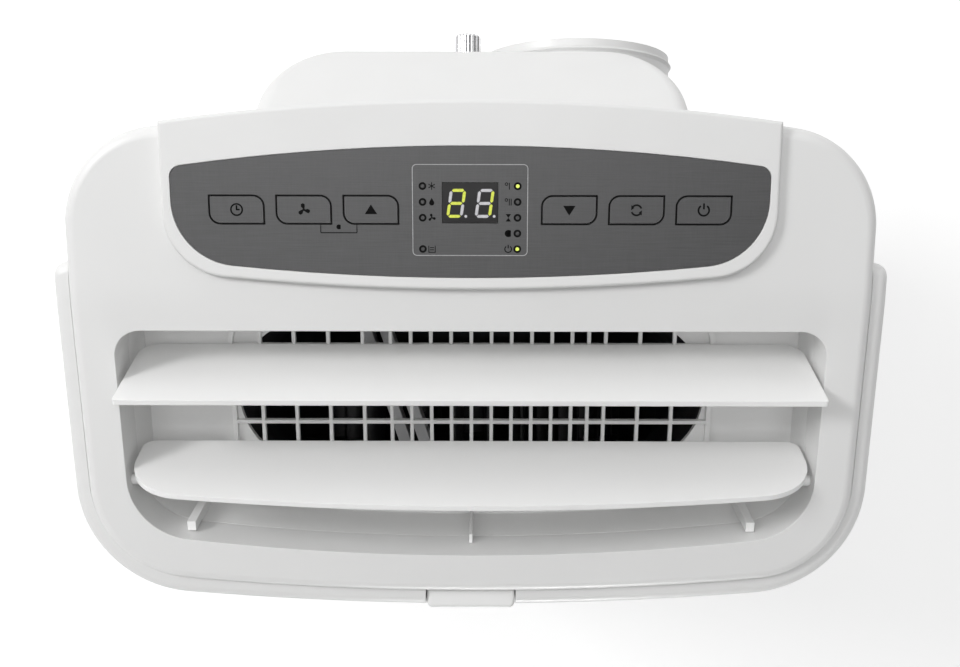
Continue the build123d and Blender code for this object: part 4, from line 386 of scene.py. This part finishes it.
# The two stays in the mouth of the duct are paler than the duct around them
STAYS_LOW = Vector((-0.065, -0.078, 0.565))
STAYS_HIGH = Vector((-0.010, -0.022, 0.600))
duct = nodes["blower_housing"].data
duct.materials.append(moulded("duct_stays", linear(200, 200, 201), 0.5, 1500.0, 0.00002))
for face in duct.polygons:
    if all(low < place < high for low, place, high in zip(STAYS_LOW, face.center, STAYS_HIGH)):
        face.material_index = 1

black_ink = ink("black_ink", linear(6, 6, 6), 0.7, specular=0.1)
grey_ink = ink("grey_ink", linear(170, 170, 171), 0.5)
lit_segment = lens("lit_segment", linear(190, 198, 62), linear(196, 206, 58), 0.35)
dark_segment = lens("dark_segment", linear(205, 204, 208), NO_GLOW, 0.0, 0.35)


# Flat marks that lie on the panel, drawn as outlines in its plane
def panel_point(x, y, lift):
    """Point in metres from millimetres across and up the panel, and above it."""
    rise = HEIGHT - tan(PANEL_SLOPE) * CONTROL_DATUM
    across = y * cos(PANEL_SLOPE) - lift * sin(PANEL_SLOPE)
    up = rise + y * sin(PANEL_SLOPE) + lift * cos(PANEL_SLOPE)
    return Vector((x, across, up)) / 1000


def circle_points(x, y, radius, start=0.0, end=360.0, count=24):
    """Points along an arc, in degrees, ends included."""
    angles = [radians(start + (end - start) * step / count) for step in range(count + 1)]
    return [(x + radius * cos(angle), y + radius * sin(angle)) for angle in angles]


def arc_band(x, y, inner, outer, start, end, count=16):
    """Outline of a bent bar between two radii."""
    out = circle_points(x, y, outer, start, end, count)
    return out + circle_points(x, y, inner, start, end, count)[::-1]


def ring_bands(x, y, inner, outer):
    """A full ring as two half bands."""
    return [arc_band(x, y, inner, outer, 0, 180), arc_band(x, y, inner, outer, 180, 360)]


def bar(x0, y0, x1, y1, width):
    """Outline of a straight bar between two points."""
    run = Vector((x1 - x0, y1 - y0))
    side = Vector((-run.y, run.x)).normalized() * width / 2
    return [
        (x0 + side.x, y0 + side.y),
        (x0 - side.x, y0 - side.y),
        (x1 - side.x, y1 - side.y),
        (x1 + side.x, y1 + side.y),
    ]


def moved(outlines, x, y, scale=1.0):
    """Outlines shifted to a place on the panel."""
    return [[(x + scale * px, y + scale * py) for px, py in outline] for outline in outlines]


def rounded_box(low_x, low_y, high_x, high_y, corners):
    """Closed outline of a box with its own radius at each corner, from the lower left round."""
    places = [
        (low_x, low_y, 1, 1, 180),
        (high_x, low_y, -1, 1, 270),
        (high_x, high_y, -1, -1, 0),
        (low_x, high_y, 1, -1, 90),
    ]
    points = []
    for (x, y, right, up, start), radius in zip(places, corners):
        if radius > 0:
            points += circle_points(x + right * radius, y + up * radius, radius, start, start + 90, 8)
        else:
            points.append((x, y))
    return points


def line_bands(inner, outer):
    """Line between two closed outlines with the same number of points, as one quad for each side."""
    count = len(inner)
    return [[inner[k], outer[k], outer[(k + 1) % count], inner[(k + 1) % count]] for k in range(count)]


def print_marks(name, outlines, material, body="casing", base=PANEL_FACE, height=PRINT_HEIGHT):
    """Raised print on the panel: each outline becomes a thin slab with straight sides."""
    mesh = bpy.data.meshes.new(name)
    shape = bmesh.new()
    for outline in outlines:
        following = outline[1:] + outline[:1]
        area = sum(here[0] * there[1] - there[0] * here[1] for here, there in zip(outline, following))
        points = outline if area > 0 else outline[::-1]
        upper = [shape.verts.new(panel_point(x, y, base + height)) for x, y in points]
        lower = [shape.verts.new(panel_point(x, y, base)) for x, y in points]
        shape.faces.new(upper)
        for k in range(len(points)):
            after = (k + 1) % len(points)
            shape.faces.new((lower[k], lower[after], upper[after], upper[k]))
    bmesh.ops.remove_doubles(shape, verts=shape.verts, dist=1e-7)
    shape.to_mesh(mesh)
    shape.free()
    mesh.materials.append(material)
    piece = bpy.data.objects.new(name, mesh)
    bpy.context.scene.collection.objects.link(piece)
    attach(piece, body)
    return piece


# Signs on the keys and beside the lamps, each about 5 mm high and centred on its own origin
def clock_sign():
    hands = [bar(0, -0.2, 0, 1.6, 0.6), bar(-0.2, 0, 1.15, 0, 0.6)]
    return ring_bands(0, 0, 1.8, 2.4) + hands


def fan_sign():
    blade = [(0.35, 0.25), (1.1, 1.0), (2.0, 1.05), (2.4, 0.35), (2.1, -0.35), (1.2, -0.4), (0.4, -0.3)]
    blades = []
    for turn in (90, 210, 330):
        lean = radians(turn)
        blades.append([(x * cos(lean) - y * sin(lean), x * sin(lean) + y * cos(lean)) for x, y in blade])
    return blades + [circle_points(0, 0, 0.5, count=16)[:-1]]


def up_sign():
    return [[(-2.3, -1.6), (2.3, -1.6), (0, 2.0)]]


def down_sign():
    return [[(-2.3, 1.6), (0, -2.0), (2.3, 1.6)]]


def cycle_sign():
    marks = []
    for start in (20, 200):
        marks.append(arc_band(0, 0, 1.55, 2.2, start, start + 115))
        tip = radians(start + 160)
        foot = radians(start + 115)
        marks.append(
            [
                (1.2 * cos(foot), 1.2 * sin(foot)),
                (2.75 * cos(foot), 2.75 * sin(foot)),
                (2.0 * cos(tip), 2.0 * sin(tip)),
            ]
        )
    return marks


def power_sign():
    return [arc_band(0, 0, 1.65, 2.3, 125, 415, 28), bar(0, 0.4, 0, 2.6, 0.65)]


def flake_sign():
    arm = 2.2
    width = 0.5
    bars = []
    for turn in (30, 90, 150):
        x = arm * cos(radians(turn))
        y = arm * sin(radians(turn))
        bars.append(bar(-x, -y, x, y, width))
    return bars


def drop_sign():
    return [[(0, 2.4)] + circle_points(0, -0.6, 1.5, 30, -210, 18)]


def tank_sign():
    return [
        bar(-1.9, 2.0, -1.9, -2.0, 0.5),
        bar(1.9, 2.0, 1.9, -2.0, 0.5),
        bar(-2.15, -2.0, 2.15, -2.0, 0.5),
        bar(-1.2, 0.8, 1.2, 0.8, 0.5),
        bar(-1.2, -0.5, 1.2, -0.5, 0.5),
    ]


def degree_sign(bars):
    marks = ring_bands(-1.2, 1.2, 0.55, 1.0)
    return marks + [bar(0.5 + 1.1 * step, 2.0, 0.5 + 1.1 * step, -2.0, 0.5) for step in range(bars)]


def glass_sign():
    return [
        [(-1.6, 2.2), (0, 0), (1.6, 2.2)],
        [(-1.6, -2.2), (1.6, -2.2), (0, 0)],
    ]


def moon_sign():
    return [circle_points(0, 0, 2.1, 60, 300, 20) + circle_points(1.1, 0, 1.85, 285, 75, 20)]


# Key outlines on the panel, and a sign on each key
keys = (
    ("key_timer", -KEY_FIRST - 2 * KEY_PITCH, clock_sign()),
    ("key_fan", -KEY_FIRST - KEY_PITCH, fan_sign()),
    ("key_up", -KEY_FIRST, up_sign()),
    ("key_down", KEY_FIRST, down_sign()),
    ("key_mode", KEY_FIRST + KEY_PITCH, cycle_sign()),
    ("key_power", KEY_FIRST + 2 * KEY_PITCH, power_sign()),
)


def key_edge(x, grow):
    """Outline of a key, grown to each side; the left group and the right group mirror each other."""
    radius = KEY_ROUND + grow
    corners = (radius, 0, radius, 0) if x < 0 else (0, radius, 0, radius)
    half_width = KEY_WIDTH / 2 + grow
    half_height = KEY_HEIGHT / 2 + grow
    low = KEY_ROW - half_height
    high = KEY_ROW + half_height
    return rounded_box(x - half_width, low, x + half_width, high, corners)


outlines = []
for name, x, sign in keys:
    outlines += line_bands(key_edge(x, KEY_GAP), key_edge(x, KEY_GAP + LINE_WIDTH))
    placed = moved(sign, x, KEY_ROW, SIGN_SCALE)
    print_marks(f"{name}_sign", placed, black_ink, f"{name}_body")

# Bracket below two keys that joins them, with a small sign in it
bracket = [
    (BRACKET_LEFT, BRACKET_HIGH),
    (BRACKET_LEFT, BRACKET_LOW),
    (BRACKET_RIGHT, BRACKET_LOW),
    (BRACKET_RIGHT, BRACKET_HIGH),
]
for (x0, y0), (x1, y1) in zip(bracket, bracket[1:]):
    outlines.append(bar(x0, y0, x1, y1, BRACKET_LINE))
bracket_middle = (BRACKET_LEFT + BRACKET_RIGHT) / 2
outlines += moved(moon_sign(), bracket_middle, BRACKET_SIGN_ROW, BRACKET_SIGN_SCALE)
print_marks("key_outlines", outlines, black_ink)

# Frame of the display, digits, lamp rings and small signs
print_marks(
    "display_frame",
    line_bands(
        rounded_box(-FRAME_HALF, FRAME_LOW, FRAME_HALF, FRAME_HIGH, (FRAME_CORNER,) * 4),
        rounded_box(
            -FRAME_HALF - FRAME_LINE,
            FRAME_LOW - FRAME_LINE,
            FRAME_HALF + FRAME_LINE,
            FRAME_HIGH + FRAME_LINE,
            (FRAME_CORNER + FRAME_LINE,) * 4,
        ),
    ),
    grey_ink,
)


def segment(x0, y0, x1, y1):
    """Bar of a digit with pointed ends."""
    run = Vector((x1 - x0, y1 - y0)).normalized()
    side = Vector((-run.y, run.x)) * SEGMENT / 2
    start = Vector((x0, y0)) + run * SEGMENT_GAP
    end = Vector((x1, y1)) - run * SEGMENT_GAP
    inner_start = start + run * SEGMENT / 2
    inner_end = end - run * SEGMENT / 2
    return [start, inner_start - side, inner_end - side, end, inner_end + side, inner_start + side]


half_w = DIGIT_WIDTH / 2
half_h = DIGIT_HEIGHT / 2
segments = {
    "a": segment(-half_w, half_h, half_w, half_h),
    "b": segment(half_w, half_h, half_w, 0),
    "c": segment(half_w, 0, half_w, -half_h),
    "d": segment(-half_w, -half_h, half_w, -half_h),
    "e": segment(-half_w, 0, -half_w, -half_h),
    "f": segment(-half_w, half_h, -half_w, 0),
    "g": segment(-half_w, 0, half_w, 0),
}
lit = []
unlit = []
for centre, shown in zip(DIGIT_CENTRES, ("abged", "bc")):
    for letter, outline in segments.items():
        placed = [(centre + p[0] + p[1] * DIGIT_SLANT, DIGIT_ROW + p[1]) for p in outline]
        (lit if letter in shown else unlit).append(placed)
    unlit.append(circle_points(centre + half_w + DOT_OFFSET, DIGIT_ROW - half_h, DOT_RADIUS, count=16)[:-1])
print_marks("digit_segments_lit", lit, lit_segment)
print_marks("digit_segments", unlit, dark_segment)

rings = []
signs = []
left_signs = {0: flake_sign(), 1: drop_sign(), 2: fan_sign(), 4: tank_sign()}
right_signs = {0: degree_sign(1), 1: degree_sign(2), 2: glass_sign(), 3: moon_sign(), 4: power_sign()}
for side, column in ((-1, left_signs), (1, right_signs)):
    for row, sign in column.items():
        y = LAMP_FIRST - LAMP_PITCH * row
        rings += ring_bands(side * LAMP_COLUMN, y, RING_INNER, RING_OUTER)
        signs += moved(sign, side * (LAMP_COLUMN - SMALL_SIGN_OFFSET), y, SMALL_SIGN_SCALE)
print_marks("lamp_rings", rings, black_ink)
print_marks("lamp_signs", signs, black_ink)


# Root of the boss behind the exhaust collar, which carries it on to the curved wall that it stands on,
# in metres, with its two ends measured forward from the front of the collar
BOSS_WALL = 0.0055
BOSS_BACK = 0.0535
BOSS_FRONT = 0.065
BOSS_HALF_TURN = 56
BOSS_STEPS = 40


def boss_root():
    """Bent bar, part of a ring about the collar's axis, on the side that stands clear of the bulge."""
    low, high = (Vector(corner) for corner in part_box("exhaust_collar"))
    axis = (low + high) / 2
    outer = (high.x - low.x) / 2
    mesh = bpy.data.meshes.new("exhaust_boss_root")
    shape = bmesh.new()
    sections = []
    for step in range(BOSS_STEPS + 1):
        angle = radians(BOSS_HALF_TURN * (2 * step / BOSS_STEPS - 1))
        section = []
        for radius, setback in (
            (outer - BOSS_WALL, BOSS_FRONT),
            (outer, BOSS_FRONT),
            (outer, BOSS_BACK),
            (outer - BOSS_WALL, BOSS_BACK),
        ):
            place = (axis.x + radius * cos(angle), low.y - setback, axis.z + radius * sin(angle))
            section.append(shape.verts.new(place))
        sections.append(section)
    for here, there in zip(sections, sections[1:]):
        for k in range(4):
            shape.faces.new((here[k], here[(k + 1) % 4], there[(k + 1) % 4], there[k]))
    shape.faces.new(sections[0])
    shape.faces.new(sections[-1])
    bmesh.ops.recalc_face_normals(shape, faces=shape.faces)
    shape.to_mesh(mesh)
    shape.free()
    mesh.materials.append(finishes["white_casing"])
    piece = bpy.data.objects.new("exhaust_boss_root", mesh)
    bpy.context.scene.collection.objects.link(piece)
    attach(piece, "casing")


boss_root()


# Stage: floor, surroundings, lamps and camera, in metres, watts and degrees
WHITE_LIGHT = (1, 1, 1, 1)
FLOOR_HALF = 6.0
FLOOR_DROP = 0.0003
FLOOR_COLOUR = (0.85, 0.85, 0.85, 1)
FLOOR_GLOW = 0.355
FLOOR_FAR_GLOW = 0.95
FLOOR_NEAR = 0.7
FLOOR_FAR = 2.6
FILL = 0.15
FILL_SLOPE = (0.0, 0.95, 0.0)
SHEEN = 0.42
SHEEN_SLOPE = (-2.2, 0.1, 0.0)
LEAST = 0.15
MOST = 1.1
TOP_TARGET = (0, 0, 0.6)
FRONT_TARGET = (0, 0, 0.35)
CAMERA_PLACE = (0.0056, -0.0247, 1.1648)
CAMERA_TURNS = ((0.12, "Z"), (0.15, "Y"), (-0.05, "X"))
CAMERA_LENS = 42.675
CAMERA_SENSOR = 36.0
CAMERA_CLIP = 0.01


def added(tree, kind, **settings):
    """New node in a tree, with its settings."""
    node = tree.nodes.new(kind)
    for key, value in settings.items():
        setattr(node, key, value)
    return node


def larger(tree, first, second):
    """Larger of two values."""
    node = added(tree, "ShaderNodeMath", operation="MAXIMUM")
    tree.links.new(first, node.inputs[0])
    tree.links.new(second, node.inputs[1])
    return node.outputs["Value"]


def camera_share(tree):
    """Factor that is 1 for what the camera sees, also in mirrors and through glass."""
    path = added(tree, "ShaderNodeLightPath")
    direct = larger(tree, path.outputs["Is Camera Ray"], path.outputs["Is Glossy Ray"])
    return larger(tree, direct, path.outputs["Is Transmission Ray"])


def floor_glow(tree):
    """Glow for the camera alone, which grows with the distance from the object."""
    place = added(tree, "ShaderNodeTexCoord")
    distance = added(tree, "ShaderNodeVectorMath", operation="LENGTH")
    tree.links.new(place.outputs["Object"], distance.inputs[0])
    growth = added(tree, "ShaderNodeMapRange")
    growth.inputs["From Min"].default_value = FLOOR_NEAR
    growth.inputs["From Max"].default_value = FLOOR_FAR
    growth.inputs["To Min"].default_value = FLOOR_GLOW
    growth.inputs["To Max"].default_value = FLOOR_FAR_GLOW
    tree.links.new(distance.outputs["Value"], growth.inputs["Value"])
    amount = added(tree, "ShaderNodeMath", operation="MULTIPLY")
    tree.links.new(camera_share(tree), amount.inputs[0])
    tree.links.new(growth.outputs["Result"], amount.inputs[1])
    glow = added(tree, "ShaderNodeEmission")
    glow.inputs["Color"].default_value = WHITE_LIGHT
    tree.links.new(amount.outputs["Value"], glow.inputs["Strength"])
    return glow.outputs["Emission"]


def floor_paper():
    """Pale matt paper that keeps the object's shadow."""
    paper = bpy.data.materials.new("floor_paper")
    paper.use_nodes = True
    tree = paper.node_tree
    tree.nodes.clear()
    matt = added(tree, "ShaderNodeBsdfDiffuse")
    matt.inputs["Color"].default_value = FLOOR_COLOUR
    both = added(tree, "ShaderNodeAddShader")
    tree.links.new(matt.outputs["BSDF"], both.inputs[0])
    tree.links.new(floor_glow(tree), both.inputs[1])
    output = added(tree, "ShaderNodeOutputMaterial")
    tree.links.new(both.outputs["Shader"], output.inputs["Surface"])
    return paper


def make_floor():
    """Plain square floor just under the wheels."""
    mesh = bpy.data.meshes.new("floor")
    corners = [(FLOOR_HALF * x, FLOOR_HALF * y, 0) for x, y in ((-1, -1), (1, -1), (1, 1), (-1, 1))]
    mesh.from_pydata(corners, [], [(0, 1, 2, 3)])
    mesh.materials.append(floor_paper())
    floor = bpy.data.objects.new("floor", mesh)
    floor.location.z = -FLOOR_DROP
    bpy.context.scene.collection.objects.link(floor)


def background(tree):
    """White background, of strength 1 unless its strength is linked."""
    light = added(tree, "ShaderNodeBackground")
    light.inputs["Color"].default_value = WHITE_LIGHT
    light.inputs["Strength"].default_value = 1.0
    return light


def sloping_light(tree, level, slope):
    """Background whose strength changes evenly across the room, within limits."""
    place = added(tree, "ShaderNodeTexCoord")
    lean = added(tree, "ShaderNodeVectorMath", operation="DOT_PRODUCT")
    lean.inputs[1].default_value = slope
    tree.links.new(place.outputs["Generated"], lean.inputs[0])
    total = added(tree, "ShaderNodeMath", operation="ADD")
    total.inputs[1].default_value = level
    tree.links.new(lean.outputs["Value"], total.inputs[0])
    kept = added(tree, "ShaderNodeClamp")
    kept.inputs["Min"].default_value = LEAST
    kept.inputs["Max"].default_value = MOST
    tree.links.new(total.outputs["Value"], kept.inputs["Value"])
    light = background(tree)
    tree.links.new(kept.outputs["Result"], light.inputs["Strength"])
    return light.outputs["Background"]


def chosen(tree, factor, without, within):
    """One background where the factor is 0 and another where it is 1."""
    choose = added(tree, "ShaderNodeMixShader")
    tree.links.new(factor, choose.inputs["Fac"])
    tree.links.new(without, choose.inputs[1])
    tree.links.new(within, choose.inputs[2])
    return choose.outputs["Shader"]


def make_surroundings():
    """White to the camera, and a soft room that is brighter behind, and at the left in reflections."""
    world = bpy.data.worlds.new("studio")
    bpy.context.scene.world = world
    world.use_nodes = True
    tree = world.node_tree
    tree.nodes.clear()
    path = added(tree, "ShaderNodeLightPath")
    seen = background(tree).outputs["Background"]
    fill = sloping_light(tree, FILL, FILL_SLOPE)
    sheen = sloping_light(tree, SHEEN, SHEEN_SLOPE)
    room = chosen(tree, path.outputs["Is Glossy Ray"], fill, sheen)
    room = chosen(tree, path.outputs["Is Camera Ray"], room, seen)
    room = chosen(tree, path.outputs["Is Transmission Ray"], room, seen)
    output = added(tree, "ShaderNodeOutputWorld")
    tree.links.new(room, output.inputs["Surface"])


def softbox(name, place, target, size, power):
    """Square area light that points at a target and isn't seen itself."""
    data = bpy.data.lights.new(name, "AREA")
    data.size = size
    data.energy = power
    lamp = bpy.data.objects.new(name, data)
    lamp.location = place
    lamp.rotation_mode = "QUATERNION"
    lamp.rotation_quaternion = (Vector(target) - Vector(place)).to_track_quat("-Z", "Y")
    lamp.visible_camera = False
    bpy.context.scene.collection.objects.link(lamp)


def make_camera():
    """Camera above the object that looks almost straight down."""
    data = bpy.data.cameras.new("camera")
    data.sensor_width = CAMERA_SENSOR
    data.sensor_fit = "HORIZONTAL"
    data.lens = CAMERA_LENS
    data.clip_start = CAMERA_CLIP
    camera = bpy.data.objects.new("camera", data)
    pose = Matrix.Translation(CAMERA_PLACE)
    for angle, axis in CAMERA_TURNS:
        pose = pose @ Matrix.Rotation(radians(angle), 4, axis)
    camera.matrix_world = pose
    bpy.context.scene.collection.objects.link(camera)
    bpy.context.scene.camera = camera


make_floor()
make_surroundings()
softbox("key_light", place=(-1.5, 0.55, 2.15), target=TOP_TARGET, size=0.6, power=23.0)
softbox("top_light", place=(0.0, 0.1, 2.9), target=TOP_TARGET, size=1.6, power=20.0)
softbox("front_light", place=(0.15, -2.4, 0.3), target=FRONT_TARGET, size=0.5, power=18.0)
make_camera()
bpy.context.scene.view_settings.view_transform = "Standard"
